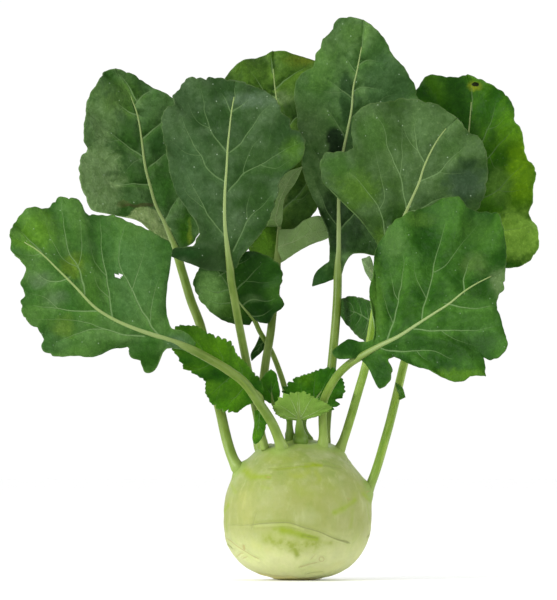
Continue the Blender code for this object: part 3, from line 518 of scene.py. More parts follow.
            ),
        ),
    ),
    Leaf(
        "inner_left",
        [
            (-4.5, 4.5, 72), (-4.5, 5.5, 78), (-4.4, 9, 91), (-7, 15, 105), (-11, 20.5, 117),
            (-15, 22.5, 126), (-20.5, 19.5, 135), (-24, 14, 142),
        ],
        (2.7, 1.7, 1.3, 0.7),
        Blade(
            rib=[(-24, 14, 142), (-30, 10, 149), (-36, 7, 157), (-41, 5, 165), (-45, 4, 170)],
            left=[
                (0, -26, 138.5), (0.1, -33, 139), (0.2, -39, 140.5), (0.3, -44, 143.5), (0.42, -49, 148),
                (0.55, -54.5, 154.5), (0.68, -56, 161), (0.8, -55, 166.5), (0.9, -53, 170.5),
                (1, -49, 174.5),
            ],
            right=[
                (0, -20, 140), (0.08, -16, 139.5), (0.15, -12.5, 145), (0.22, -6.5, 150), (0.29, -9, 156),
                (0.38, -7.5, 163), (0.5, -9, 171), (0.62, -16, 176.5), (0.72, -25, 179), (0.82, -35, 178.5),
                (0.92, -43, 176.8), (1, -49, 174.5),
            ],
            lean=(-0.35, 0.05), ruffle=1.4, waves=3,
        ),
        lobes=(
            Blade(
                rib=[(-17.5, 22, 131), (-20.5, 22.5, 126.5), (-23.2, 22.5, 122)],
                left=[(0, -16.3, 129.5), (0.4, -18.5, 125), (0.8, -22.8, 120.8), (1, -25, 119)],
                right=[(0, -20.5, 133), (0.4, -22.8, 127.5), (0.8, -25.5, 122), (1, -25, 119)],
                lean=(0.0, 0.0), ruffle=0.3, waves=1, narrow=True,
            ),
        ),
    ),
    Leaf(
        "small_left",
        [(-17, -10.5, 69), (-18.5, -12, 76), (-20, -15, 87), (-20.5, -18, 95), (-20, -19, 100)],
        (2.8, 1.7, 1.5, 0.7),
        Blade(
            rib=[(-20, -19, 100), (-30, -22, 108), (-40, -24, 115), (-50, -25, 122), (-60, -25, 128.5)],
            left=[
                (0, -22, 97.5), (0.08, -28, 95), (0.16, -34, 91.5), (0.24, -41, 92.5), (0.32, -47, 97),
                (0.4, -50, 103), (0.48, -50, 108), (0.56, -56, 112.5), (0.66, -62, 116), (0.76, -64.5, 121),
                (0.86, -68, 126), (1, -69, 133),
            ],
            right=[
                (0, -18, 103), (0.1, -20, 109), (0.2, -24, 113), (0.3, -28, 118.5), (0.4, -33, 123),
                (0.5, -36, 129.5), (0.6, -42, 132), (0.7, -49, 135), (0.8, -56, 138.5), (0.9, -64, 139),
                (1, -69, 133),
            ],
            lean=(0.0, 0.1), ruffle=1.6, waves=5,
        ),
        lobes=(
            Blade(
                rib=[(-20.5, -18.5, 93), (-21, -19.5, 86), (-21.4, -20, 79)],
                left=[
                    (0, -17.2, 93), (0.3, -16.5, 87.5), (0.55, -17.2, 83.5), (0.75, -18.6, 79.3),
                    (0.9, -20.8, 75.6), (1, -22.5, 74.3),
                ],
                right=[
                    (0, -23.4, 92.5), (0.3, -23.3, 86.5), (0.6, -24.2, 80), (0.8, -24.6, 77.6),
                    (0.93, -24, 75.5), (1, -22.5, 74.3),
                ],
                lean=(0.0, 0.0), ruffle=0.3, waves=1, narrow=True,
            ),
        ),
    ),
    Leaf(
        "heart_pale", [(1.8, -9, 72), (1.6, -12, 78), (1, -17, 83), (1, -20, 87)], (3.9, 2.4, 1.7, 0.7),
        Blade(
            rib=[(1, -20, 87), (0.5, -24, 92), (0, -26, 97)],
            left=[
                (0, -2, 87.5), (0.16, -6, 88.1), (0.32, -11.4, 90.8), (0.44, -13.3, 94.6),
                (0.56, -11.4, 98), (0.66, -9.6, 99.9), (0.77, -7.2, 101.4), (0.88, -4, 102.2),
                (1, 0.2, 102.8),
            ],
            right=[
                (0, 4, 87.7), (0.14, 10.4, 89.7), (0.26, 14.8, 91.6), (0.38, 18.6, 94.6), (0.5, 15.6, 97),
                (0.62, 12, 98.5), (0.73, 9, 100.1), (0.84, 6.1, 101.8), (0.92, 3, 102.8), (1, 0.2, 102.8),
            ],
            lean=(0.0, -0.2), ruffle=0.6, waves=3, cup=-0.1, upper=-1,
        ),
    ),
    Leaf(
        "heart_green", [(7, -2.4, 71.5), (5.4, -3.4, 77), (3.4, -4.8, 83), (3.6, -5.6, 87), (5, -6, 90)],
        (3.0, 1.8, 1.5, 0.7),
        Blade(
            rib=[(5, -6, 90), (9, -7, 97), (13, -8, 103), (16, -8, 109)],
            left=[
                (0, 2, 91), (0.15, -3, 96), (0.3, -8, 103), (0.45, -4, 108), (0.58, 1, 111),
                (0.72, 6, 112.5), (0.86, 13, 115), (1, 19.5, 116),
            ],
            right=[
                (0, 8, 89.5), (0.15, 14, 91), (0.29, 19.4, 93.2), (0.39, 22.2, 96), (0.47, 21.8, 98.4),
                (0.56, 24.6, 99.9), (0.66, 25.7, 103.6), (0.78, 25.2, 108), (0.89, 22.5, 112.4),
                (1, 19.5, 116),
            ],
            lean=(0.0, 0.0), ruffle=0.9, waves=3,
        ),
    ),
    Leaf(
        "heart_tip", [(-4, -4.5, 72), (-4.2, -6, 80), (-5, -9, 88), (-9, -11.5, 92.5), (-13, -12, 96)],
        (2.3, 1.5, 1.2, 0.6),
        Blade(
            rib=[(-13, -12, 96), (-14, -13, 102), (-14.3, -14, 108)],
            left=[(0, -15.5, 96.5), (0.3, -20, 101), (0.6, -20.5, 107), (0.85, -18, 112), (1, -14.4, 115)],
            right=[
                (0, -10.8, 96.5), (0.3, -9.5, 102), (0.6, -10.5, 108), (0.85, -11.5, 112.5),
                (1, -14.4, 115),
            ],
            lean=(0.0, 0.0), ruffle=0.5, waves=2, narrow=True,
        ),
    ),
]

# How each leaf is finished
LOOKS = {
    "front_left": Look(
        (0.024, 0.078, 0.010), (0.050, 0.122, 0.020), bloom=0.45, vein=0.85, teeth=(1.0, 9.5), crease=0.7,
        stalk=(0.95, 0.70, 1.0), holes=((-97.0, 166.0, 2.3, 1.3),),
        veins=(
            (
                (-75, 133.5), (-80, 140.5), (-86, 150), (-90, 159), (-94, 166), (-97, 174), (-96, 182),
                (-94, 191),
            ),
            ((-100.5, 144), (-102, 154), (-104, 166), (-106, 178), (-107, 196)),
            ((-115.5, 156), (-116.5, 163), (-119, 171), (-123, 177), (-125, 183), (-127, 195), (-128, 204)),
            ((-109, 147.3), (-118, 147.5), (-130, 148.5), (-143, 149.5)),
            ((-124.5, 165), (-130, 163.5), (-136, 164), (-143, 168)),
            ((-83, 134), (-94, 134.5), (-103, 137), (-112, 137.5), (-121, 134.5), (-129, 131)),
            ((-139, 179), (-146, 186), (-150, 190)),
        ),
        twigs=(
            ((-90, 158), (-87, 166), (-84, 174), (-82, 183)),
            ((-119, 171), (-117, 180), (-117.5, 191), (-119, 200)),
            ((-103, 137), (-115, 141), (-128, 142.3), (-146, 141)),
            ((-80, 140.5), (-79, 150), (-76.5, 160), (-74, 168)), ((-104, 166), (-110, 173), (-113, 184)),
            ((-119, 171), (-127, 175), (-133, 184), (-137, 195)), ((-130, 148.5), (-137, 154), (-145, 157)),
            ((-139, 178.5), (-143, 177.5), (-150, 178)), ((-102, 154), (-108, 160), (-111, 168)),
        ),
        patches=(
            (-121, 172, 9, 8, (0.085, 0.150, 0.010), 0.65), (-127, 139, 8, 7, (0.085, 0.150, 0.018), 0.6),
            (-142, 190, 14, 14, (0.070, 0.165, 0.010), 0.75),
            (-88, 166, 18, 32, (0.052, 0.118, 0.036), 0.6), (-139, 164, 9, 6, (0.070, 0.115, 0.055), 0.7),
            (-131, 154, 8, 6, (0.070, 0.115, 0.055), 0.6), (-80, 121, 11, 10, (0.012, 0.052, 0.002), 0.85),
            (-100, 128, 16, 5, (0.018, 0.066, 0.004), 0.6), (-112, 160, 8, 22, (0.042, 0.112, 0.010), 0.5),
            (-66, 130, 8, 6, (0.060, 0.110, 0.055), 0.7),
        ),
    ),
    "back_left": Look(
        (0.023, 0.068, 0.010), (0.048, 0.101, 0.029), bloom=0.6, vein=0.7, teeth=(0.5, 8.0), puff=1.5,
        crease=1.5, spread=0.7,
        veins=(
            ((-81, 215.3), (-88, 215.2), (-94, 214.5), (-101, 216)),
            ((-85, 230.5), (-91, 235), (-97, 239.5), (-105, 245)), ((-86.5, 252.5), (-91, 254), (-98, 259)),
            ((-80.5, 225), (-77, 228), (-72, 232)), ((-84, 240.5), (-80, 244), (-75, 249), (-72.5, 255)),
            ((-72.5, 195), (-69, 202), (-65, 208)), ((-88, 259), (-84, 264), (-79, 267)),
            ((-88, 261), (-92, 268), (-97, 274)),
        ),
        twigs=(((-85.5, 229), (-91, 226), (-95, 221)), ((-97, 239.5), (-103, 238), (-110, 241))),
        patches=(
            (-107, 252, 13, 17, (0.090, 0.155, 0.055), 0.85, 0.8),
            (-109, 217, 15, 23, (0.112, 0.180, 0.070), 0.95, 0.5),
            (-97, 262, 16, 12, (0.048, 0.105, 0.014), 0.6), (-61, 190, 6, 14, (0.020, 0.070, 0.002), 0.9),
            (-58.5, 188, 1.8, 9, (0.120, 0.185, 0.016), 0.65, 0.9),
            (-76, 238, 7, 9, (0.012, 0.046, 0.006), 0.8),
            (-95, 204.5, 4, 2.0, (0.080, 0.090, 0.030), 0.45, 0.4),
            (-84, 195, 8.5, 7.5, (0.185, 0.250, 0.100), 0.9, 0.15),
            (-76, 188, 7, 7, (0.175, 0.240, 0.092), 0.9, 0.15),
            (-85, 203.6, 9, 1.0, (0.050, 0.055, 0.018), 0.8, 0.3),
            (-73, 212, 8, 14, (0.022, 0.078, 0.008), 0.7), (-93, 212, 7, 2.2, (0.018, 0.050, 0.010), 0.7),
            (-101, 221, 7, 1.8, (0.022, 0.056, 0.012), 0.6),
        ),
    ),
    "mid_left": Look(
        (0.016, 0.044, 0.009), (0.034, 0.072, 0.021), bloom=0.75, vein=0.48, teeth=(0.9, 7.0), crease=0.5,
        stalk=(1.0, 0.68, 0.84),
        veins=(
            ((-40, 188), (-46, 195), (-50, 202), (-56, 213), (-61, 221)),
            ((-40, 216.5), (-45, 220), (-49.5, 225), (-53, 231), (-58, 240), (-63, 251)),
            ((-39.5, 233.5), (-44, 240), (-48, 246), (-50.5, 255), (-52, 266)),
            ((-35, 179), (-33, 184), (-30, 191), (-27, 196), (-20, 203), (-14, 209)),
            ((-37.5, 212), (-33, 217), (-29.5, 221), (-20, 226), (-10, 232), (-1, 237)),
            ((-37, 233), (-30, 239), (-26, 245), (-21, 252), (-15, 258)),
            ((-36, 254.5), (-38, 259), (-41, 265)), ((-35.5, 255), (-31, 258), (-26, 262)),
            ((-34.5, 261), (-34, 269)),
        ),
        twigs=(
            ((-29.5, 221), (-28, 228), (-24, 236), (-18, 244)), ((-27, 196), (-27, 204), (-25, 213)),
            ((-50, 202), (-57, 207), (-64, 217)), ((-53, 231), (-60, 232), (-69, 239)),
            ((-20, 226), (-12, 224), (-4, 228)), ((-48, 246), (-55, 250), (-60, 260)),
        ),
        patches=(
            (-2, 233, 9, 9, (0.044, 0.104, 0.010), 0.75), (-13, 224, 9, 5, (0.030, 0.080, 0.012), 0.5),
            (-20, 205, 13, 24, (0.014, 0.044, 0.005), 0.8), (-58, 178, 16, 5, (0.010, 0.048, 0.006), 0.85),
            (-26, 261, 22, 5, (0.062, 0.100, 0.058), 0.7), (-60, 225, 12, 25, (0.034, 0.074, 0.026), 0.5),
            (-45, 176, 14, 10, (0.010, 0.030, 0.004), 0.75), (-22, 232, 14, 12, (0.028, 0.066, 0.014), 0.5),
            (-50, 215, 9, 14, (0.030, 0.066, 0.022), 0.4),
        ),
    ),
    "tall_back": Look(
        (0.028, 0.074, 0.014), (0.062, 0.125, 0.034), bloom=0.55, vein=0.42, teeth=(0.55, 8.5), puff=1.4,
        crease=1.2, stalk=(1.0, 0.68, 1.0),
        veins=(
            ((25, 242), (21.5, 248), (16, 256)), ((29.8, 262), (25, 266), (17, 272)),
            ((31.5, 277), (26, 284)), ((29.8, 252), (34, 256), (41, 257), (48, 255)),
            ((30.5, 266), (36, 268), (43, 267)), ((32.5, 280), (38, 283), (45, 282)),
            ((34.5, 288), (36, 296), (37, 302)), ((22.5, 192), (15, 203), (10, 215)),
            ((22.5, 208), (15, 222), (8, 236)), ((22.5, 190), (32, 200), (44, 212)),
            ((23, 215), (36, 226), (50, 240)),
        ),
        twigs=(((41, 257), (47, 262), (55, 264)), ((25, 266), (18, 265), (8, 268))),
        patches=(
            (27.0, 262, 4.2, 17, (0.014, 0.040, 0.010), 0.85, 0.45),
            (21.5, 238, 6, 9, (0.005, 0.016, 0.004), 0.95, 0.4),
            (33, 256, 5, 8, (0.016, 0.044, 0.010), 0.6, 0.5),
            (30, 244, 4, 8, (0.014, 0.040, 0.008), 0.6, 0.5), (29, 235, 5, 4, (0.014, 0.042, 0.006), 0.8),
            (10, 280, 12, 16, (0.064, 0.145, 0.024), 0.6),
            (49, 268, 14, 20, (0.026, 0.066, 0.018), 0.85, 0.5),
            # The dark patches at (25, 195) and (12, 164), low on the blade, are painted shadow cast by the
            # leaves in front.
            (29, 296, 12, 10, (0.048, 0.112, 0.016), 0.6), (25, 195, 30, 26, (0.010, 0.028, 0.006), 0.95),
            (12, 164, 11, 10, (0.010, 0.042, 0.005), 0.95),
        ),
    ),
    "front_right": Look(
        (0.010, 0.048, 0.002), (0.030, 0.096, 0.007), bloom=0.25, vein=0.75, teeth=(0.7, 8.0), puff=1.6,
        crease=0.6,
        veins=(
            ((49, 131.5), (52, 140), (54.5, 152), (57, 162), (58, 175)),
            ((67.5, 143), (70, 154), (73, 164), (74.5, 172), (77, 182), (80, 193)),
            ((90, 157.5), (90.5, 165), (93, 173)), ((45, 126.5), (58, 125.5), (73, 125.5), (84, 121)),
            ((63, 137.8), (74, 136), (86, 137), (97, 136.5), (106, 138)),
            ((81, 151), (90, 149), (98, 148.5), (107, 150)),
        ),
        twigs=(
            ((74.5, 168), (80, 171), (85, 177), (90, 184), (97, 192)), ((54.5, 153), (52, 160), (50, 169)),
            ((65, 125.5), (68, 121), (71, 119)), ((78, 136.3), (86, 131), (96, 128)),
            ((52, 140), (48, 150), (46, 160)), ((70, 154), (65, 163), (63, 173)),
        ),
        patches=(
            (52, 186, 10, 14, (0.058, 0.130, 0.026), 0.8), (69, 183, 5, 14, (0.008, 0.042, 0.001), 0.8),
            (66, 197, 12, 5, (0.046, 0.108, 0.014), 0.7), (86, 112, 22, 5, (0.052, 0.130, 0.005), 0.85),
            (100, 131, 15, 11, (0.022, 0.064, 0.012), 0.6), (97, 172, 10, 8, (0.070, 0.120, 0.030), 0.45),
            (109, 163, 6, 10, (0.085, 0.135, 0.050), 0.8), (99, 157, 10, 4.5, (0.012, 0.046, 0.002), 0.6),
            (54, 158, 4, 5, (0.010, 0.040, 0.002), 0.6), (43, 150, 5, 26, (0.050, 0.125, 0.012), 0.7),
            (98, 190, 13, 10, (0.042, 0.108, 0.014), 0.5), (45, 113, 7, 9, (0.012, 0.050, 0.005), 0.8),
            (28, 126, 10, 6, (0.008, 0.044, 0.002), 0.85), (70, 128, 22, 6, (0.010, 0.046, 0.002), 0.6),
            (87, 127, 17, 9, (0.010, 0.042, 0.002), 0.8), (84, 180, 8, 9, (0.028, 0.084, 0.008), 0.5),
            (60, 148, 6, 8, (0.022, 0.072, 0.004), 0.5),
        ),
    ),
    "mid_right": Look(
        (0.024, 0.058, 0.010), (0.045, 0.091, 0.023), bloom=0.65, vein=0.65, teeth=(0.7, 9.0), crease=0.5,
        stalk=(1.25, 1.3, 1.0),
        veins=(
            ((59, 203), (57.5, 210), (56, 220), (52, 228), (49, 236), (47, 246), (43, 253)),
            ((69, 227.5), (66, 233), (64, 241), (64, 250)),
            ((66, 217), (72, 219), (77, 222), (83, 229), (90, 235)),
            ((59, 200), (67, 202), (73, 206), (81, 209)),
            ((49, 181), (47.5, 189), (46, 197), (44.5, 202), (40, 208), (34, 216), (29, 221)),
            ((76.5, 240), (80, 245), (85, 249)),
        ),
        twigs=(
            ((56, 220), (57, 230), (57, 240), (57, 252)),
            ((44.5, 202), (47, 206), (46.5, 215), (44, 226), (41, 237)), ((77, 222), (84, 221), (92, 222)),
            ((66, 233), (60, 240), (58, 250)),
        ),
        patches=(
            (31, 212, 18, 13, (0.043, 0.097, 0.009), 0.85, 1.0),
            (22, 226, 12, 7, (0.030, 0.082, 0.010), 0.7), (92, 216, 15, 13, (0.024, 0.048, 0.024), 0.85),
            (72, 248, 18, 12, (0.062, 0.116, 0.038), 0.8), (52, 197, 8, 8, (0.010, 0.036, 0.002), 0.8),
            (41, 244, 10, 12, (0.038, 0.092, 0.016), 0.6), (93, 227, 8, 4, (0.010, 0.028, 0.008), 0.7),
            (72, 206, 12, 6, (0.022, 0.052, 0.014), 0.6), (46, 184, 6, 9, (0.044, 0.100, 0.008), 0.7),
            (84, 236, 9, 6, (0.036, 0.082, 0.018), 0.6), (33, 146, 15, 16, (0.014, 0.056, 0.004), 0.95),
        ),
    ),
    "back_right": Look(
        (0.014, 0.066, 0.002), (0.042, 0.125, 0.005), bloom=0.0, vein=0.55, teeth=(0.5, 7.0), crease=0.6,
        spread=1.1, stalk=(1.2, 1.3, 1.0),
        veins=(
            ((95.5, 256), (95.5, 264), (95.8, 271)),
            ((95, 230), (101, 239), (104, 245), (106.5, 251), (108, 259)),
            ((94, 221), (103, 228), (109, 235), (114, 240), (119, 244)),
            ((91, 205), (102, 208), (110, 212.5), (115, 218), (123, 225)),
            ((89, 197), (100, 194), (112, 190), (124, 191)), ((90, 202), (80, 214), (70, 226)),
            ((94, 222), (82, 236), (70, 248)),
        ),
        twigs=(
            ((104, 245), (110, 247), (115, 253)), ((110, 212.5), (117, 211), (125, 212)),
            ((105, 230), (108, 224), (113, 222)), ((100, 194), (108, 198), (118, 200)),
        ),
        patches=(
            # The bright patches at (122, 222) and (121, 188) are painted light, where light shines through
            # the blade and the leaves in front shade it.
            (122, 222, 11, 26, (0.135, 0.285, 0.005), 0.9), (121, 188, 17, 18, (0.215, 0.390, 0.050), 0.9),
            (110, 214, 9, 13, (0.095, 0.200, 0.030), 0.8), (114, 245, 8, 16, (0.072, 0.190, 0.004), 0.7),
            (97, 268.8, 4.6, 3.2, (0.150, 0.190, 0.008), 0.9),
            (97.4, 269.8, 1.6, 1.3, (0.004, 0.006, 0.001), 1.0, 0.3),
            (88, 252, 10, 18, (0.012, 0.056, 0.002), 0.7), (104, 250, 6, 16, (0.016, 0.066, 0.001), 0.5),
            (97, 240, 4, 10, (0.010, 0.045, 0.001), 0.6),
        ),
    ),
    "back_middle": Look(
        (0.024, 0.060, 0.005), (0.058, 0.122, 0.012), under=(0.190, 0.290, 0.105), bloom=0.15, vein=0.6,
        crease=1.5, stalk=(0.85, 0.6, 1.0), teeth=(0.3, 8.0),
        veins=(
            ((-8.5, 201), (-2, 206.5), (4, 214), (8, 222)),
            ((-11, 262), (-18, 265), (-26, 268.5), (-35, 270)), ((-12.5, 267), (-6, 272), (3, 277)),
            ((-10, 240), (-2, 250), (8, 258)), ((-13.5, 276), (-15, 285)),
        ),
        twigs=(((-18, 265), (-22, 271), (-27, 277)), ((-2, 206.5), (3, 207), (8, 211))),
        patches=(
            (-7, 262, 8, 5, (0.110, 0.155, 0.070), 0.6), (-2, 255, 8, 10, (0.018, 0.045, 0.008), 0.8),
            (2, 283, 12, 5, (0.090, 0.120, 0.006), 0.6), (1, 205, 12, 14, (0.034, 0.082, 0.018), 0.7),
            (-17, 184, 10, 12, (0.070, 0.165, 0.010), 0.85), (-12, 192, 7, 5, (0.022, 0.066, 0.004), 0.7),
            (-8, 212, 4, 12, (0.120, 0.175, 0.055), 0.8),
        ),
    ),
    "inner_left": Look(
        (0.005, 0.030, 0.001), (0.012, 0.050, 0.002), bloom=0.05, vein=0.5, teeth=(0.5, 6.0), puff=0.5,
        veins=(
            ((-33, 152), (-41, 150), (-48, 152)), ((-37, 158), (-45, 157), (-52, 160)),
            ((-30, 149), (-25, 153), (-18, 151.5), (-12, 153)), ((-35, 156), (-28, 163), (-20, 171)),
            ((-26, 143.5), (-19, 144), (-14, 148)), ((-42, 166), (-35, 170), (-26, 175)),
        ),
        twigs=(((-28, 163), (-20, 162), (-12, 163)), ((-41, 150), (-44, 147))),
        patches=(
            # This bright patch is painted light, for a part of the leaf that lies in the shade of the others.
            (-47, 155, 12, 17, (0.115, 0.230, 0.058), 0.90, 0.9),
            (-36, 146, 9, 8, (0.034, 0.090, 0.008), 0.7), (-13, 156, 6, 7, (0.028, 0.078, 0.008), 0.5),
            (-25, 153, 7, 3, (0.050, 0.100, 0.030), 0.7),
        ),
    ),
    "small_left": Look(
        (0.018, 0.084, 0.002), (0.050, 0.145, 0.004), under=(0.10, 0.22, 0.03), bloom=0.0, vein=0.35,
        teeth=(1.15, 4.2), puff=0.9,
        veins=(
            ((-36, 112), (-42, 106), (-48, 101)), ((-28, 106), (-34, 100), (-39, 94)),
            ((-46, 119), (-53, 115), (-60, 116)), ((-30, 108), (-30, 114), (-34, 121)),
            ((-40, 115), (-41, 122), (-45, 129)), ((-50, 122), (-53, 128), (-58, 134)),
        ),
        twigs=(
            ((-42, 106), (-44, 100), (-44, 95)), ((-34, 100), (-40, 98)),
            ((-41, 122), (-47, 126), (-50, 132)),
        ),
        patches=(
            (-42, 127, 14, 8, (0.056, 0.160, 0.002), 0.8), (-22, 108, 8, 10, (0.010, 0.060, 0.001), 0.7),
            (-44, 112, 12, 5, (0.008, 0.052, 0.001), 0.8), (-41, 94, 9, 5, (0.040, 0.150, 0.002), 0.6),
        ),
    ),
    "heart_pale": Look(
        (0.092, 0.206, 0.020), (0.136, 0.262, 0.035), under=(0.140, 0.245, 0.040), bloom=0.05, vein=0.35,
        teeth=(1.7, 3.0), puff=0.5,
        veins=(
            ((1, 88), (-4, 92), (-10, 96)), ((1, 88), (-2, 95), (-5, 101)), ((1, 88), (1, 95), (0.5, 102)),
            ((1, 88), (5, 95), (8, 100)), ((1, 88), (8, 91), (14, 94.5)),
            ((1, 88), (-6, 89.5), (-10, 91.5)),
        ),
    ),
    "heart_green": Look(
        (0.014, 0.074, 0.002), (0.028, 0.105, 0.003), under=(0.10, 0.22, 0.03), bloom=0.0, vein=0.35,
        teeth=(1.5, 3.8), puff=0.5,
        veins=(
            ((7, 93), (3, 100), (2, 109)), ((9, 96), (9, 104), (10, 113)), ((11, 99), (16, 103), (23, 105)),
            ((8, 94), (14, 94), (21, 96)),
        ),
        patches=((4, 109, 6, 5, (0.050, 0.140, 0.004), 0.7), (20, 100, 6, 7, (0.018, 0.070, 0.002), 0.6)),
    ),
    "heart_tip": Look(
        (0.016, 0.080, 0.001), (0.030, 0.115, 0.003), under=(0.10, 0.22, 0.03), bloom=0.0, vein=0.3,
        teeth=(0.6, 4.0), puff=0.3,
        veins=(((-13.5, 100), (-16, 104), (-18, 107)), ((-13.8, 104), (-12, 108), (-11.5, 111))),
    ),
}


# ---------------------------------------------------------------- curves
def curve_at(keys, points, wanted, tight=False):
    """Points at the wanted keys on a smooth curve. A tight curve never swings out past its own points."""
    keys, points, wanted = (np.asarray(given, float) for given in (keys, points, wanted))
    secants = np.diff(points, axis=0) / np.diff(keys)[:, None]
    if tight:
        a, b = secants[:-1], secants[1:]
        whole = np.where(a + b == 0, 1.0, a + b)
        inner = np.where(a * b > 0, 2 * a * b / whole, 0.0)
    else:
        inner = (points[2:] - points[:-2]) / (keys[2:] - keys[:-2])[:, None]
    slopes = np.vstack([secants[:1], inner, secants[-1:]])
    i = np.clip(np.searchsorted(keys, wanted, side="right") - 1, 0, len(keys) - 2)
    span = (keys[i + 1] - keys[i])[:, None]
    u = ((wanted - keys[i]) / (keys[i + 1] - keys[i]))[:, None]
    return (
        points[i] * (2 * u**3 - 3 * u**2 + 1)
        + points[i + 1] * (3 * u**2 - 2 * u**3)
        + slopes[i] * span * (u**3 - 2 * u**2 + u)
        + slopes[i + 1] * span * (u**3 - u**2)
    )


def lengths_along(points):
    """The distance of each point from the first, along the line through them."""
    steps = np.linalg.norm(np.diff(np.asarray(points, float), axis=0), axis=1)
    return np.concatenate([[0.0], np.cumsum(steps)])


def rib_points(blade, shares):
    keys = lengths_along(blade.rib)
    return curve_at(keys, blade.rib, np.asarray(shares) * keys[-1])


def margin_points(blade, side, shares):
    """Margin points that the side veins from these shares of the rib run to, laid back by the blade's
    lean."""
    table = np.array(blade.left if side < 0 else blade.right)
    flat = curve_at(table[:, 0], table[:, 1:], shares, tight=True)
    base = rib_points(blade, shares)
    back = blade.lean[0] * (flat[:, 0] - base[:, 0]) + blade.lean[1] * (flat[:, 1] - base[:, 2])
    return np.stack([flat[:, 0], base[:, 1] + back, flat[:, 1]], axis=1)


def row_shares(blade, step):
    """Shares of the rib at which the blade's rows start, a step apart where they meet the margins."""
    fine = np.linspace(0, 1, 481)
    edges = [margin_points(blade, side, fine) for side in (-1, 1)]
    steps = np.max([np.linalg.norm(np.diff(edge, axis=0), axis=1) for edge in edges], axis=0)
    walked = np.concatenate([[0.0], np.cumsum(steps)])
    rows = max(6, round(walked[-1] / step))
    return np.interp(np.linspace(0, walked[-1], rows + 1), walked, fine)


def smooth(low, high, value):
    u = np.clip((value - low) / (high - low), 0, 1)
    return u * u * (3 - 2 * u)


def noisy(points, size, seed):
    """Smooth noise from about -1 to 1 at each point, with features of the given size in mm."""
    shift = Vector((seed * 17.3, seed * 5.1, seed * 9.7))
    return np.array([noise.noise(Vector(point) / size + shift) for point in points])


# ---------------------------------------------------------------- meshes
def object_from(name, bm, *materials):
    mesh = bpy.data.meshes.new(name)
    bm.to_mesh(mesh)
    bm.free()
    for finish in materials:
        mesh.materials.append(finish)
    mesh.shade_smooth()
    obj = bpy.data.objects.new(name, mesh)
    bpy.context.scene.collection.objects.link(obj)
    return obj


def stand_for(obj, node):
    """The piece takes the place of the plain solid of the same name, and has to keep to its room."""
    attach(obj, "root")
    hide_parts(node)
    low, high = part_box(node)
    points = np.array([vert.co for vert in obj.data.vertices])
    too_low = points.min(axis=0) < np.array(low) - ROOM
    too_high = points.max(axis=0) > np.array(high) + ROOM
    if too_low.any() or too_high.any():
        raise RuntimeError(node + " leaves the room of the plain solid that it stands for")


def write_values(bm, **values):
    """Float attributes, one number a vertex."""
    for name, numbers in values.items():
        layer = bm.verts.layers.float.new(name)
        for vert, number in zip(bm.verts, numbers):
            vert[layer] = number


def grid_bmesh(columns, rows):
    """A flat sheet of cells, and each vertex's column and row in it."""
    bm = bmesh.new()
    bmesh.ops.create_grid(bm, x_segments=columns, y_segments=rows, size=1)
    co = np.array([vert.co[:] for vert in bm.verts])
    column = np.rint((co[:, 0] + 1) / 2 * columns).astype(int)
    row = np.rint((co[:, 1] + 1) / 2 * rows).astype(int)
    return bm, column, row


def place(bm, points):
    for vert, point in zip(bm.verts, points):
        vert.co = point


# ---------------------------------------------------------------- shader maths
class Flow:
    """A value that flows through a material's nodes, so that its maths reads as Python."""

    def __init__(self, paint, socket):
        self.paint = paint
        self.socket = socket

    def math(self, operation, *values, clamp=False):
        node = self.paint.node("ShaderNodeMath", {"operation": operation, "use_clamp": clamp}, values)
        return Flow(self.paint, node.outputs[0])

    def __add__(self, other):
        return self.math("ADD", self, other)

    def __radd__(self, other):
        return self.math("ADD", other, self)

    def __sub__(self, other):
        return self.math("SUBTRACT", self, other)

    def __rsub__(self, other):
        return self.math("SUBTRACT", other, self)

    def __mul__(self, other):
        return self.math("MULTIPLY", self, other)

    def __rmul__(self, other):
        return self.math("MULTIPLY", other, self)

    def __abs__(self):
        return self.math("ABSOLUTE", self)

    def at_least(self, other):
        return self.math("MAXIMUM", self, other)

    def clamped(self):
        return self.math("ADD", self, 0.0, clamp=True)

    def rise(self, low, high):
        """0 below low and 1 above high, with a smooth step between."""
        settings = {"interpolation_type": "SMOOTHSTEP"}
        values = {"Value": self, "From Min": low, "From Max": high}
        node = self.paint.node("ShaderNodeMapRange", settings, values)
        return Flow(self.paint, node.outputs["Result"])

    def fall(self, low, high):
        return 1 - self.rise(low, high)


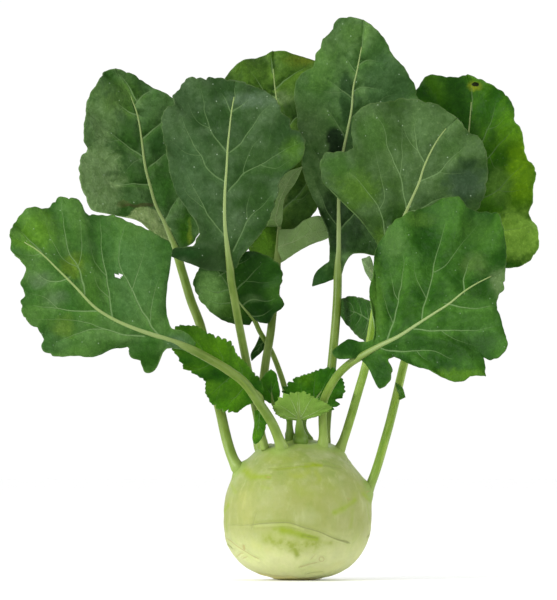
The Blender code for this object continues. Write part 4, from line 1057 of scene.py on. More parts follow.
class Paint:
    """One material and the nodes that it is built from."""

    coat_roughness = 0.35
    subsurface_radius = (0.6, 1.0, 0.2)
    subsurface_scale = 0.002

    def __init__(self, name, roughness=0.5, coat=0.0, subsurface=0.0, specular=0.5):
        self.material = bpy.data.materials.new(name)
        self.material.use_nodes = True
        self.tree = self.material.node_tree
        self.shader = self.tree.nodes["Principled BSDF"]
        self.shader.inputs["Roughness"].default_value = roughness
        self.shader.inputs["Coat Weight"].default_value = coat
        self.shader.inputs["Coat Roughness"].default_value = self.coat_roughness
        self.shader.inputs["Subsurface Weight"].default_value = subsurface
        self.shader.inputs["Subsurface Radius"].default_value = self.subsurface_radius
        self.shader.inputs["Subsurface Scale"].default_value = self.subsurface_scale
        self.shader.inputs["Specular IOR Level"].default_value = specular

    def node(self, kind, settings=None, values=None):
        """A node of a kind with its settings, and the values or flows of its sockets by place or name."""
        made = self.tree.nodes.new(kind)
        for key, value in (settings or {}).items():
            setattr(made, key, value)
        pairs = values.items() if isinstance(values, dict) else enumerate(values or ())
        for key, value in pairs:
            if isinstance(value, Flow):
                self.tree.links.new(value.socket, made.inputs[key])
            else:
                made.inputs[key].default_value = value
        return made

    def value(self, name):
        made = self.node("ShaderNodeAttribute", {"attribute_name": name})
        return Flow(self, made.outputs["Fac"])

    def vector_math(self, operation, values, output=0):
        made = self.node("ShaderNodeVectorMath", {"operation": operation}, values)
        return Flow(self, made.outputs[output])

    def place(self):
        return Flow(self, self.node("ShaderNodeTexCoord").outputs["Object"])

    def stretched(self, scale):
        made = self.node("ShaderNodeMapping", None, {"Vector": self.place(), "Scale": scale})
        return Flow(self, made.outputs["Vector"])

    def noise(self, size, detail=3.0, where=None, roughness=0.55):
        """Noise from 0 to 1 with features of the given size in metres."""
        values = {"Vector": where or self.place(), "Scale": 1 / size}
        values.update({"Detail": detail, "Roughness": roughness})
        made = self.node("ShaderNodeTexNoise", None, values)
        return Flow(self, made.outputs["Fac"])

    def cells(self, size, feature="F1", where=None):
        """Distance from the middle or the edge of cells of the given size in metres."""
        values = {"Vector": where or self.place(), "Scale": 1 / size}
        made = self.node("ShaderNodeTexVoronoi", {"feature": feature}, values)
        return Flow(self, made.outputs["Distance"])

    def warped(self, size, amount):
        """Object coordinates pushed about by noise, so that cells lose their straight edges."""
        values = {"Vector": self.place(), "Scale": 1 / size, "Detail": 2.0}
        cloud = Flow(self, self.node("ShaderNodeTexNoise", None, values).outputs["Color"])
        centred = self.vector_math("SUBTRACT", (cloud, (0.5, 0.5, 0.5)))
        scaled = self.vector_math("SCALE", {0: centred, "Scale": amount})
        return self.vector_math("ADD", (self.place(), scaled))

    def patch(self, centre, reach, where):
        """0 at the centre of an upright oval patch and 1 on its outline, seen from the front."""
        away = self.vector_math("SUBTRACT", (where, centre))
        oval = self.vector_math("MULTIPLY", (away, (1 / reach[0], 0.0, 1 / reach[1])))
        return self.vector_math("LENGTH", (oval,), "Value")

    def mix(self, share, below, above):
        """Colours mixed by a share from 0 to 1."""
        below, above = (given if isinstance(given, Flow) else (*given, 1.0) for given in (below, above))
        made = self.node("ShaderNodeMix", {"data_type": "RGBA"}, {0: share, 6: below, 7: above})
        return Flow(self, made.outputs[2])

    def tint(self, share, colour, by):
        """A colour multiplied by another, by a share."""
        settings = {"data_type": "RGBA", "blend_type": "MULTIPLY"}
        made = self.node("ShaderNodeMix", settings, {0: share, 6: colour, 7: (*by, 1.0)})
        return Flow(self, made.outputs[2])

    def bump(self, height, distance, strength=1.0, under=None):
        values = {"Height": height, "Distance": distance, "Strength": strength}
        if under is not None:
            values["Normal"] = under
        return Flow(self, self.node("ShaderNodeBump", None, values).outputs["Normal"])

    def finish(self, colour, roughness=None, normal=None):
        for name, flow in (("Base Color", colour), ("Roughness", roughness), ("Normal", normal)):
            if flow is not None:
                self.tree.links.new(flow.socket, self.shader.inputs[name])
        return self.material


# ---------------------------------------------------------------- settings
def colour_setting(name, description, default):
    return bpy.props.FloatVectorProperty(
        name=name, description=description, default=default, subtype="COLOR", size=3, min=0, max=1
    )


class BulbSettings(bpy.types.PropertyGroup):
    """Sizes and colours of the bulb."""

    around: bpy.props.IntProperty(
        name="Cells around", description="Cells in one turn of the bulb's skin", default=320, min=24, max=400
    )
    relief: bpy.props.FloatProperty(
        name="Scar relief", description="Height of the lips of the leaf scars",
        default=0.0003, min=0, max=0.002,
        subtype="DISTANCE", unit="LENGTH",
    )
    crown: colour_setting("Crown", "Greyer green of the upper third", (0.195, 0.242, 0.058))
    middle: colour_setting("Middle", "Yellow green of the widest part", (0.226, 0.250, 0.062))
    # The base is given much paler than the middle: partly the bulb's own paler green near the root cut,
    # partly painted light bounced up from the floor
    base: colour_setting("Base", "Pale green near the root cut", (0.490, 0.510, 0.240))
    patch: colour_setting("Patch", "Fresh green under a leaf scar", (0.190, 0.255, 0.008))
    scar: colour_setting("Scar", "Cork of a leaf scar", (0.165, 0.180, 0.058))
    root: colour_setting("Root cut", "Yellowish cork of the root cut", (0.540, 0.490, 0.170))


class StalkSettings(bpy.types.PropertyGroup):
    """Sizes and colours of the stalks and ribs."""

    around: bpy.props.IntProperty(
        name="Cells around", description="Cells in one turn of a stalk", default=28, min=8, max=64
    )
    ring_step: bpy.props.FloatProperty(
        name="Ring spacing", description="Distance between two rings of a stalk", default=0.0012, min=0.0005,
        max=0.01, subtype="DISTANCE", unit="LENGTH",
    )
    groove: bpy.props.FloatProperty(
        name="Groove", description="Depth of the groove on a stalk's upper side, as a share of its radius",
        default=0.16, min=0, max=0.5, subtype="FACTOR",
    )
    flesh: colour_setting("Flesh", "Green of a stalk", (0.195, 0.289, 0.036))
    light: colour_setting("Light", "Paler green of its ridges", (0.292, 0.390, 0.094))
    rib: colour_setting("Rib", "Pale green of the ribs", (0.247, 0.332, 0.115))
    foot: colour_setting("Foot", "Green where a stalk grows from the bulb", (0.185, 0.262, 0.052))
    shade: colour_setting("Shade", "Deeper green of its groove and streaks", (0.130, 0.221, 0.018))


class BladeSettings(bpy.types.PropertyGroup):
    """Sizes and colours that all the blades share."""

    cell: bpy.props.FloatProperty(
        name="Cell", description="Size of a blade's cells", default=0.00105, min=0.0005, max=0.01,
        subtype="DISTANCE", unit="LENGTH",
    )
    thickness: bpy.props.FloatProperty(
        name="Thickness", description="Thickness of a blade", default=0.0006, min=0.0002, max=0.002,
        subtype="DISTANCE", unit="LENGTH",
    )
    vein: colour_setting("Vein", "Pale green of the side veins", (0.120, 0.200, 0.074))
    bloom: colour_setting("Bloom", "Waxy grey green bloom on the blades", (0.066, 0.100, 0.058))


class StageSettings(bpy.types.PropertyGroup):
    """The floor, the lights and the camera."""

    distance: bpy.props.FloatProperty(
        name="Camera distance", description="From the camera to the bulb's axis",
        default=14.0, min=0.5, max=20,
        subtype="DISTANCE", unit="LENGTH",
    )
    height: bpy.props.FloatProperty(
        name="Camera height", description="Of the camera above the middle of the view", default=0.16, min=-1,
        max=2, subtype="DISTANCE", unit="LENGTH",
    )
    sky: bpy.props.FloatProperty(
        name="Sky", description="Strength of the even light from all round", default=1.02, min=0, max=5,
        subtype="FACTOR",
    )
    key: bpy.props.FloatProperty(
        name="Key light", description="Power of the large light at the front left",
        default=26.0, min=0, max=400,
        subtype="POWER",
    )
    floor: colour_setting("Floor", "Colour of the pale sweep that the kohlrabi stands on", (0.97, 0.97, 0.97))


SETTINGS = {
    "kohlrabi_bulb": BulbSettings,
    "kohlrabi_stalks": StalkSettings,
    "kohlrabi_blades": BladeSettings,
    "kohlrabi_stage": StageSettings,
}


# ---------------------------------------------------------------- the bulb
def bulb_point(turn):
    """Radius and height in mm of the plain turned bulb, for a turn from 0 at the crown to pi at the
    foot."""
    above = turn < math.pi / 2
    tall = np.where(above, BULB_HEIGHT - BULB_WIDEST, BULB_WIDEST)
    square = np.where(above, *BULB_SQUARE)
    radius = BULB_RADIUS * np.abs(np.sin(turn)) ** square
    height = BULB_WIDEST + tall * np.sign(np.cos(turn)) * np.abs(np.cos(turn)) ** square
    return radius, height


def line_gap(spots, line):
    """For each spot (across, up) in mm: the plain distance to a line, the side of it (+1 is its left) and
    how far along it, from 0 to 1."""
    keys = lengths_along(line)
    route = curve_at(keys, line, np.linspace(0, keys[-1], max(3, round(keys[-1] / 1.5)) + 1))
    first, step = route[:-1], np.diff(route, axis=0)
    away = spots[:, None, :] - first[None, :, :]
    share = np.clip((away * step).sum(axis=2) / (step**2).sum(axis=1), 0, 1)
    gap = np.linalg.norm(away - step * share[:, :, None], axis=2)
    nearest = gap.argmin(axis=1)
    pick = (np.arange(len(spots)), nearest)
    turn = step[nearest, 0] * away[pick][:, 1] - step[nearest, 1] * away[pick][:, 0]
    return gap[pick], np.where(turn < 0, -1, 1), (nearest + share[pick]) / len(step)


def skin_marks(points):
    """The marks of the bulb's skin at each point in mm: the nearest line and the soft patches."""
    marks = {name: np.full(len(points), NO_LINE) for name in ("line_side", "line_near")}
    for name in ("line_mark", "line_tone", "olive", "mottle", "yellow", "lip"):
        marks[name] = np.zeros(len(points))
    for turn, side, lift in MARK_TURNS:
        a = math.radians(turn)
        across = (points[:, 0] * math.cos(a) + points[:, 1] * math.sin(a)) * side
        is_front = points[:, 1] * math.cos(a) - points[:, 0] * math.sin(a) < 0
        wobble = [MARK_WOBBLE * noisy(points, MARK_WAVE, seed + turn) for seed in (11, 12)]
        spots = np.stack([across, points[:, 2] - lift], axis=1) + np.stack(wobble, axis=1)
        for tone, strength, start, end, line in SKIN_LINES:
            gap, hand, along = line_gap(spots, line)
            nearer = is_front & (gap < marks["line_near"])
            half = start + (end - start) * along
            found = (hand * gap / half, gap, strength, tone)
            for name, number in zip(("line_side", "line_near", "line_mark", "line_tone"), found):
                marks[name] = np.where(nearer, number, marks[name])
        for name, strength, start, end, line in SKIN_PATCHES:
            gap, _, along = line_gap(spots, line)
            spread = strength * np.exp(-((gap / (start + (end - start) * along)) ** 2)) * is_front
            marks[name] = np.maximum(marks[name], spread)
    return marks


def swelling(away, reach):
    """A rise round each stalk's foot that falls off over the reach, and levels off at 1 where feet meet."""
    rise = np.exp(-((away / reach) ** 2)).sum(axis=0)
    return rise / (1 + rise**4) ** 0.25


def bulb_finish(settings):
    paint = Paint("waxy_bulb_skin", roughness=0.5, coat=0.02, subsurface=0.06, specular=0.3)
    height, side, mark, near, tone = (
        paint.value(name) for name in ("height", "line_side", "line_mark", "line_near", "line_tone")
    )
    olive, mottle, yellow, lip, root, foot = (
        paint.value(name) for name in ("olive", "mottle", "yellow", "lip", "root", "foot")
    )
    cloud = paint.noise(0.022, 3.0)
    blotch = paint.noise(0.009, 4.0)
    speck = paint.noise(0.0042, 4.0)
    fine = paint.noise(0.0018, 4.0)
    upward = paint.stretched((1.0, 1.0, 0.22))
    streak = paint.noise(0.0035, 3.0, upward)
    level = height + (cloud - 0.5) * 0.26
    # Paler towards the foot: partly its own paler green, partly painted light bounced up from the floor
    colour = paint.mix(level.rise(0.12, 0.46), tuple(settings.base), tuple(settings.middle))
    colour = paint.mix(level.rise(0.55, 0.98), colour, tuple(settings.crown))
    upper = level.rise(0.50, 0.85)
    colour = paint.tint(blotch.rise(0.42, 0.72) * (0.28 + upper * 0.22), colour, (0.80, 0.92, 0.62))
    colour = paint.tint(speck.rise(0.50, 0.70) * (0.12 + upper * 0.38), colour, (0.76, 0.88, 0.60))
    colour = paint.mix(blotch.fall(0.38, 0.52) * (0.12 + upper * 0.25), colour, (0.30, 0.33, 0.15))
    colour = paint.tint(fine.rise(0.45, 0.65) * 0.22, colour, (0.82, 0.88, 0.72))
    colour = paint.mix(cloud.rise(0.50, 0.75) * 0.35, colour, (0.33, 0.37, 0.19))
    colour = paint.mix(streak.rise(0.52, 0.8) * 0.30, colour, (0.42, 0.45, 0.22))
    colour = paint.tint(streak.fall(0.30, 0.46) * 0.20, colour, (0.84, 0.92, 0.74))
    colour = paint.mix(yellow * (0.20 + streak.rise(0.35, 0.7) * 0.4), colour, (0.390, 0.380, 0.090))
    broken = (mottle * (0.35 + speck.rise(0.40, 0.60) * 0.45 + blotch * 0.5)).clamped()
    colour = paint.mix(broken, colour, (0.215, 0.260, 0.038))
    fresh = (olive * (0.78 + speck.rise(0.30, 0.65) * 0.30)).clamped()
    colour = paint.mix(fresh, colour, tuple(settings.patch))
    deepest = (olive * speck.rise(0.52, 0.70)).rise(0.30, 0.95)
    colour = paint.mix(deepest * 0.35, colour, (0.120, 0.165, 0.006))
    # A pale band under the scar lines: partly paler skin, partly a painted highlight on the raised lip
    colour = paint.mix(lip * 0.45, colour, (0.430, 0.470, 0.170))
    colour = paint.mix(foot.rise(0.02, 0.60), colour, (0.185, 0.262, 0.052))
    line = abs(side).fall(0.30, 1.45) * near.fall(0.0012, 0.0020) * mark
    halo = near.fall(0.0003, 0.0034) * mark
    colour = paint.tint(halo * 0.35, colour, (0.82, 0.90, 0.68))
    cork = paint.mix(tone, tuple(settings.scar), (0.300, 0.225, 0.085))
    colour = paint.mix((line * (0.55 + fine * 0.8)).clamped(), colour, cork)
    rim = root.rise(0.30, 0.50) * root.fall(0.50, 0.75)
    corky = (root * (0.4 + blotch * 0.9)).rise(0.30, 0.75)
    colour = paint.mix(corky * 0.75, colour, tuple(settings.root))
    colour = paint.mix((rim * (0.1 + speck)).clamped() * 0.6, colour, (0.300, 0.240, 0.090))
    freckle = paint.cells(0.0075).fall(0.030, 0.070) * cloud.rise(0.45, 0.60)
    colour = paint.mix(freckle * 0.35, colour, (0.30, 0.29, 0.12))
    sheen = paint.cells(0.0011, where=paint.warped(0.003, 0.0008)).fall(0.2, 0.75)
    rough = 0.46 + cloud * 0.14 + root * 0.2 + line * 0.3
    dents = paint.noise(0.006, 2.0)
    normal = paint.bump(dents, 0.0010, 0.30)
    normal = paint.bump(sheen * 0.3 + fine * 0.6 + speck * 0.8, 0.00018, 0.4, normal)
    normal = paint.bump(line, 0.00025, 0.5, normal)
    return paint.finish(colour, rough, normal)


def build_bulb(settings):
    """A turned body that swells where the stalks grow from it, with the lips of its leaf scars."""
    around = settings.around
    rows = round(around * ROWS_TO_COLUMNS)
    bm, column, row = grid_bmesh(around, rows)
    radius, height = bulb_point(math.pi * row / rows)
    height = np.where(radius < FOOT_RADIUS, np.maximum(height - FOOT_FLAT, 0.0), height)
    angle = TAU * column / around
    place(bm, np.stack([radius * np.cos(angle), radius * np.sin(angle), height], axis=1))
    bmesh.ops.remove_doubles(bm, verts=bm.verts[:], dist=1e-4)
    bmesh.ops.recalc_face_normals(bm, faces=bm.faces[:])
    bm.normal_update()
    points = np.array([vert.co[:] for vert in bm.verts])
    normals = np.array([vert.normal[:] for vert in bm.verts])
    feet = [np.array(Vector(leaf.stalk[1])) for leaf in LEAVES]
    away = np.array([np.linalg.norm(points - foot, axis=1) for foot in feet])
    marks = skin_marks(points)
    near = marks["line_near"]
    lips = marks["line_mark"] * (np.exp(-((near - 1.3) ** 2) / 0.5) - 0.9 * np.exp(-(near**2) / 0.3))
    scars = settings.relief / MM * (lips + marks["lip"] - 0.5 * marks["olive"])
    lumps = 0.30 + 0.50 * noisy(points, 21, 1) + 0.16 * noisy(points, 7, 2)
    boss = BOSS_HEIGHT * swelling(away, BOSS_REACH) + COLLAR_HEIGHT * swelling(away, COLLAR_REACH)
    out = boss + scars + smooth(0.3, 2.5, points[:, 2]) * lumps
    points = points + normals * out[:, None]
    points[:, 2] = np.maximum(points[:, 2], 0.0)
    place(bm, points * MM)
    ragged = points[:, 2] - 0.9 * noisy(points, 5, 4) + 0.09 * (points[:, 0] + 6)
    green = np.exp(-((away / FOOT_GREEN_REACH) ** 2)).sum(axis=0)
    marks["line_near"] = near * MM
    marks["height"] = points[:, 2] / BULB_HEIGHT
    marks["root"] = 1 - smooth(*ROOT_EDGE, ragged)
    marks["foot"] = np.minimum(green, 1.5)
    write_values(bm, **marks)
    stand_for(object_from("bulb", bm, bulb_finish(settings)), "bulb")


# ---------------------------------------------------------------- stalks and ribs
def face_of(blade):
    """Which way the blade's upper face looks."""
    front = np.array([blade.lean[0], -1.0, blade.lean[1]])
    return front / np.linalg.norm(front) * blade.upper


def stalk_finish(settings):
    paint = Paint("stalk_skin", roughness=0.45, coat=0.02, subsurface=0.06, specular=0.2)
    foot, rib, upper = (paint.value(name) for name in ("foot", "rib", "upper"))
    along, turn = paint.value("along"), paint.value("turn")
    place = paint.node("ShaderNodeCombineXYZ", None, (along * 0.10, turn, paint.value("seed")))
    where = Flow(paint, place.outputs[0])
    fibre = paint.noise(0.00055, 3.0, where)
    ridge = paint.noise(0.0018, 2.0, where)
    cloud = paint.noise(0.012, 3.0)
    colour = paint.mix(ridge.rise(0.36, 0.66), tuple(settings.shade), tuple(settings.flesh))
    colour = paint.mix(cloud.rise(0.40, 0.70) * 0.55, colour, tuple(settings.light))
    colour = paint.tint(upper.rise(0.55, 1.0) * (1 - rib) * 0.4, colour, (0.66, 0.82, 0.46))
    colour = paint.mix(fibre.rise(0.50, 0.72) * 0.25, colour, (0.27, 0.35, 0.12))
    colour = paint.mix(rib * (0.75 + ridge * 0.25), colour, tuple(settings.rib))
    # Painted light and shade: the stalk's colour is scaled darker or brighter by its tone, from its foot to
    # the blade
    colour = paint.tint(1.0 - paint.value("tone"), colour, (0.0, 0.0, 0.0))
    colour = paint.mix(foot.rise(0.05, 0.90), colour, tuple(settings.foot))
    # Heart stalks darker: partly their own deeper green, partly painted shade down among the other stalks
    colour = paint.mix(paint.value("heart") * 0.8, colour, (0.062, 0.130, 0.010))
    rough = 0.34 + cloud * 0.16
    normal = paint.bump(fibre * 0.4 + ridge * 0.9, 0.00022, 0.5)
    return paint.finish(colour, rough, normal)


def stalk_radius(leaf, walked, leaves_bulb, blade_start):
    """The tube's radius in mm at each distance walked, and how much of the foot's flare is left there.
    The foot is swollen, the stalk tapers evenly, and the rib thins out."""
    foot, above_foot, at_blade, at_end = leaf.girth
    foot = min(foot, FOOT_AT_MOST * above_foot)
    at_blade = at_blade * LOOKS[leaf.name].stalk[2]
    start, end, neck = walked[0], walked[-1], leaves_bulb + NECK
    inward = np.clip((walked - blade_start) / (end - blade_start), 0, 1)
    swollen = foot + (above_foot - foot) * smooth(start, neck, walked)
    taper = above_foot + (at_blade - above_foot) * (walked - neck) / (blade_start - neck)
    thin = RIB_BASE * at_blade * (1 - inward) + RIB_TIP * at_end
    rib = thin + (at_blade - RIB_BASE * at_blade - RIB_TIP * at_end) * np.exp(-inward / RIB_FADE)
    radius = np.where(walked < neck, swollen, np.where(walked < blade_start, taper, rib))
    flare = np.exp(-np.clip(walked - leaves_bulb, 0, None) / FLARE_FALL)
    return radius + (HEART_FLARE if leaf.name.startswith("heart") else FLARE) * foot * flare, flare


def build_stalk(leaf, settings, finish):
    """The stalk and its rib as one tube, flared at the bulb, grooved above and flatter in the blade."""
    route = np.array(leaf.stalk + leaf.blade.rib[1:], float)
    keys = lengths_along(route)
    leaves_bulb, blade_start, end = keys[1], keys[len(leaf.stalk) - 1], keys[-1]
    start = max(0.0, leaves_bulb - STALK_ROOT)
    rings = round((end - start) * MM / settings.ring_step)
    walked = np.linspace(start, end, rings + 1)
    centre = curve_at(keys, route, walked)
    ahead = np.gradient(centre, walked, axis=0)
    ahead /= np.linalg.norm(ahead, axis=1)[:, None]
    up = face_of(leaf.blade)[None, :] - ahead * (ahead @ face_of(leaf.blade))[:, None]
    up /= np.linalg.norm(up, axis=1)[:, None]
    beside = np.cross(ahead, up)
    radius, flare = stalk_radius(leaf, walked, leaves_bulb, blade_start)
    in_blade = smooth(blade_start - FLATTENS_FROM, blade_start + FLATTENS_TO, walked)
    seed_x, seed_y, _ = leaf.stalk[0]
    wander = np.array([noise.noise(Vector((s / WANDER_WAVE, seed_x, seed_y))) for s in walked])
    centre = centre + beside * (WANDER * wander * (1 - in_blade) * (1 - flare))[:, None]
    centre = centre - up * (in_blade * radius * FLATNESS)[:, None]
    bm, column, row = grid_bmesh(settings.around, rings)
    angle = TAU * column / settings.around
    from_top = np.angle(np.exp(1j * angle))
    lift, spread, free = np.cos(angle), np.sin(angle), 1 - in_blade[row]
    sunk = settings.groove * free * (1 - flare[row]) * np.exp(-((from_top / GROOVE_HALF) ** 2))
    ribbed = 1 + 0.035 * np.cos(5 * angle + 0.6) * free
    tall = np.where(lift > 0, 1 - FLATNESS * in_blade[row], 1.0)
    thick = radius[row] * ribbed * (1 - sunk)
    points = centre[row] + up[row] * (lift * thick * tall)[:, None] + beside[row] * (spread * thick)[:, None]
    place(bm, points * MM)
    # Painted light and shade along the stalk: darker where the blades above shade it, brighter where it lies
    # in light
    low, high, _ = LOOKS[leaf.name].stalk
    climb = np.clip((walked[row] - leaves_bulb) / (blade_start - leaves_bulb), 0, 1)
    bright = low + (high - low) * climb
    write_values(
        bm,
        foot=np.exp(-np.clip(walked[row] - leaves_bulb, 0, None) / FOOT_GREEN_FALL),
        rib=in_blade[row],
        upper=(lift + 1) / 2,
        along=walked[row] * MM,
        turn=np.abs(from_top) * FIBRE_RADIUS * MM,
        seed=np.full(len(row), seed_x * 0.37 * MM),
        heart=float(leaf.name.startswith("heart")) * free,
        tone=(bright + (1 - bright) * in_blade[row]) / BRIGHTEST,
    )
    bmesh.ops.remove_doubles(bm, verts=bm.verts[:], dist=1e-6)
    bmesh.ops.holes_fill(bm, edges=[edge for edge in bm.edges if edge.is_boundary], sides=0)
    bmesh.ops.recalc_face_normals(bm, faces=bm.faces[:])
    node = f"leaf_{leaf.name}_stalk"
    stand_for(object_from(node, bm, finish), node)


# ---------------------------------------------------------------- blades
BLADE_BUMP = 0.00055
# A paler rim: partly the margin's own paler green, partly a painted highlight along the blade's edge
PALE_MARGIN = (0.15, 0.22, 0.07)
WHITE_SPECK = (0.30, 0.38, 0.27)
UNDER_VEIN = (0.25, 0.34, 0.14)


def vein_values(spots, lines, start, end):
    """For each spot (x, z) in mm: its distance from the nearest line, in that line's half widths and
    positive to its left, the plain distance, how far along the line it lies, and +1 above the line or -1
    below it. The half width runs from start to end."""
    side = np.full(len(spots), NO_VEIN)
    near = np.full(len(spots), NO_VEIN)
    reached = np.zeros(len(spots))
    above = np.zeros(len(spots))
    for line in lines:
        gap, hand, along = line_gap(spots, line)
        side = np.where(gap < near, hand * gap / (start + (end - start) * along), side)
        reached = np.where(gap < near, along, reached)
        above = np.where(gap < near, hand if line[-1][0] > line[0][0] else -hand, above)
        near = np.minimum(gap, near)
    return side, near, reached, above


def leaflet_veins(blade):
    """Side veins for a loose leaflet, which has none of its own in the table."""
    lines = []
    for side in (-1, 1):
        for share in (0.12, 0.38, 0.64):
            at = np.array([share, share + 0.06, share + 0.14])
            rib, edge = rib_points(blade, at), margin_points(blade, side, at)
            way = rib + (edge - rib) * np.array([[0.0], [0.5], [0.92]])
            lines.append(way[:, [0, 2]])
    return lines


def teeth_at(turn, seed):
    """How far an uneven margin stands out, in heights of a tooth, for a turn of TAU a tooth."""
    scallop = np.abs(np.sin(turn / 2 + 0.9 * np.sin(turn * 0.17 + seed) + seed)) ** 0.6 - 0.75
    return 1.8 * scallop * (0.55 + 0.55 * np.sin(turn * 0.13 + 2 * seed)) + 0.22 * np.sin(turn * 1.7 + seed)


def eat_hole(bm, x, z, wide, tall):
    """Take the cells of an upright oval out of the sheet."""
    eaten = []
    for face in bm.faces:
        middle = face.calc_center_median()
        if math.hypot((middle.x / MM - x) / wide, (middle.z / MM - z) / tall) < 1:
            eaten.append(face)
    bmesh.ops.delete(bm, geom=eaten, context="FACES")


def build_blade(node, blade, look, settings, finishes, is_leaflet=False):
    """The sheet: rows run out from the rib, the surface swells between the veins, and the margin waves."""
    cell = settings.cell / MM * (FINE_CELLS if look.teeth[1] < FINE_TEETH else 1.0)
    shares = row_shares(blade, cell * (NARROW_ROWS if blade.narrow else 1.0))
    edges = {side: margin_points(blade, side, shares) for side in (-1, 1)}
    ribs = rib_points(blade, shares)
    reach = max(np.linalg.norm(edges[side] - ribs, axis=1).max() for side in (-1, 1))
    half = max(6, round(reach / cell * 0.92))
    bm, column, row = grid_bmesh(2 * half, len(shares) - 1)
    across = column / half - 1
    out = np.abs(across)
    share, base = shares[row], ribs[row]
    is_left = across < 0
    side_sign = np.where(is_left, -1.0, 1.0)
    edge = np.where(is_left[:, None], edges[-1][row], edges[1][row])
    walk = np.where(is_left, lengths_along(edges[-1])[row], lengths_along(edges[1])[row] + RIGHT_WALK)
    seed = sum(map(ord, node)) % 97
    front = face_of(blade)
    span = edge - base
    length = np.linalg.norm(span, axis=1)
    height, spacing = look.teeth
    turn = walk / spacing * TAU
    near_tip = np.minimum(1.0, share / 0.06) * np.clip((1 - share) / 0.03, 0, 1)
    grow = np.clip(length / 12.0, 0, 1)
    wider = (height * teeth_at(turn, seed) * near_tip + look.spread) * grow * out**4
    points = base + span * (out + wider / np.maximum(length, 4.0))[:, None]
    wobble = np.stack([noisy(points, 7, seed + 5), noisy(points, 7, seed + 6)], axis=1)
    spots = points[:, [0, 2]] + VEIN_WOBBLE * wobble
    veins, twigs, holes = look.veins, look.twigs, look.holes
    if is_leaflet:
        veins, twigs, holes = leaflet_veins(blade), (), ()
    fine = 0.3 if is_leaflet else 0.45 if reach < SMALL_BLADE else 0.9
    side_1, near_1, along_1, above_1 = vein_values(spots, veins, VEIN_HALF[0] * fine, VEIN_HALF[1] * fine)
    side_2, near_2, along_2, _ = vein_values(spots, twigs, TWIG_HALF[0] * fine, TWIG_HALF[1] * fine)
    grown = np.minimum(1.0, share / 0.1)
    wave = blade.ruffle * grown * out**2.5 * np.sin(TAU * blade.waves * side_sign * (1 - share) + 0.9)
    small = 0.55 * grown * grow * out**4 * np.sin(turn * 0.5 + seed)
    ditch = np.exp(-((np.minimum(near_1, out * length) / 4.2) ** 2)) + 0.4 * np.exp(-((near_2 / 2.4) ** 2))
    swell = -look.puff * np.minimum(ditch, 1.0) * (1 - 0.6 * out**6) * grow
    lumps = sum(amount * noisy(points, size, seed + at) for at, (amount, size) in enumerate(BLADE_LUMPS))
    lift = np.minimum(1, out * length / 9) * grow
    rise = blade.cup * length * out**2 + wave + small + swell + look.puff * 0.6 * grow + lumps * lift
    place(bm, (points + front[None, :] * rise[:, None]) * MM)
    # Painted shade and light beside the veins: a band along each vein, painted darker above it and paler
    # below it, as the puffed blade would look lit from above.
    fold = np.exp(-((near_1 / 2.6) ** 2)) * (1 - np.exp(-((near_1 / 0.5) ** 2)))
    rib_half = np.maximum(0.95 * (1 - share) ** 0.7, 0.28) * (0.5 if is_leaflet else 1.0)
    write_values(
        bm,
        side_1=side_1, side_2=side_2,
        near_1=near_1 * MM, near_2=near_2 * MM,
        crease=above_1 * fold * (1 - 0.5 * along_1),
        faded_1=along_1, faded_2=along_2,
        from_edge=(1 - out) * length * MM,
        rib_side=across * length / rib_half,
        # The blade's relief, which the skins turn into painted light on its swells and painted shade in its
        # hollows
        swell=(lumps + wave * 0.5) / 3 + 0.5,
    )
    for hole in holes:
        eat_hole(bm, *hole)
    bmesh.ops.remove_doubles(bm, verts=bm.verts[:], dist=4e-5)
    bm.normal_update()
    facing = sum((face.normal * face.calc_area() for face in bm.faces), Vector())
    if facing.dot(Vector(front)) < 0:
        bmesh.ops.reverse_faces(bm, faces=bm.faces[:])
    obj = object_from(node, bm, *finishes)
    thick = obj.modifiers.new("thickness", "SOLIDIFY")
    thick.thickness = settings.thickness
    thick.offset = 0
    thick.material_offset = 1
    thick.material_offset_rim = 0
    stand_for(obj, node)


def blade_pattern(paint):
    """What both skins of a blade are painted with: its lines, the net between them, and the noises."""
    side_1, side_2, rib_side = (paint.value(key) for key in ("side_1", "side_2", "rib_side"))
    near_1, near_2 = (paint.value(key) for key in ("near_1", "near_2"))
    faded_1, faded_2 = paint.value("faded_1"), paint.value("faded_2")
    vein = abs(side_1).fall(0.40, 1.35) * near_1.fall(0.0010, 0.0022) * faded_1.fall(0.35, 1.45)
    twig = abs(side_2).fall(0.40, 1.45) * near_2.fall(0.0008, 0.0018) * faded_2.fall(0.1, 1.3) * 0.75
    web = paint.warped(0.007, 0.0045)
    net_1 = paint.cells(0.0066, "DISTANCE_TO_EDGE", web).fall(0.0, 0.060)
    net_2 = paint.cells(0.0027, "DISTANCE_TO_EDGE", web).fall(0.0, 0.11)
    cloud, blotch = paint.noise(0.026, 3.0), paint.noise(0.0085, 4.0)
    mottle, fine = paint.noise(0.0030, 5.0, None, 0.7), paint.noise(0.0011, 3.0)
    # Painted light and shade: light is paler on the blade's swells and deeper in its hollows, mixed with
    # cloudy noise for the leaf's own uneven tone.
    hills = (paint.value("swell") - 0.5) * 0.8
    return SimpleNamespace(
        line=vein.at_least(twig).at_least(abs(rib_side).fall(0.55, 1.15)),
        beside=near_1.fall(0.0002, 0.0050),
        web=web,
        net=(net_1 * 0.7 + net_2 * 0.35).clamped(),
        dome=paint.cells(0.0034, "F1", web),
        cloud=cloud, blotch=blotch, mottle=mottle, fine=fine,
        light=(hills + cloud * 0.7 + blotch * 0.5 + mottle * 0.15).rise(0.40, 0.95),
    )


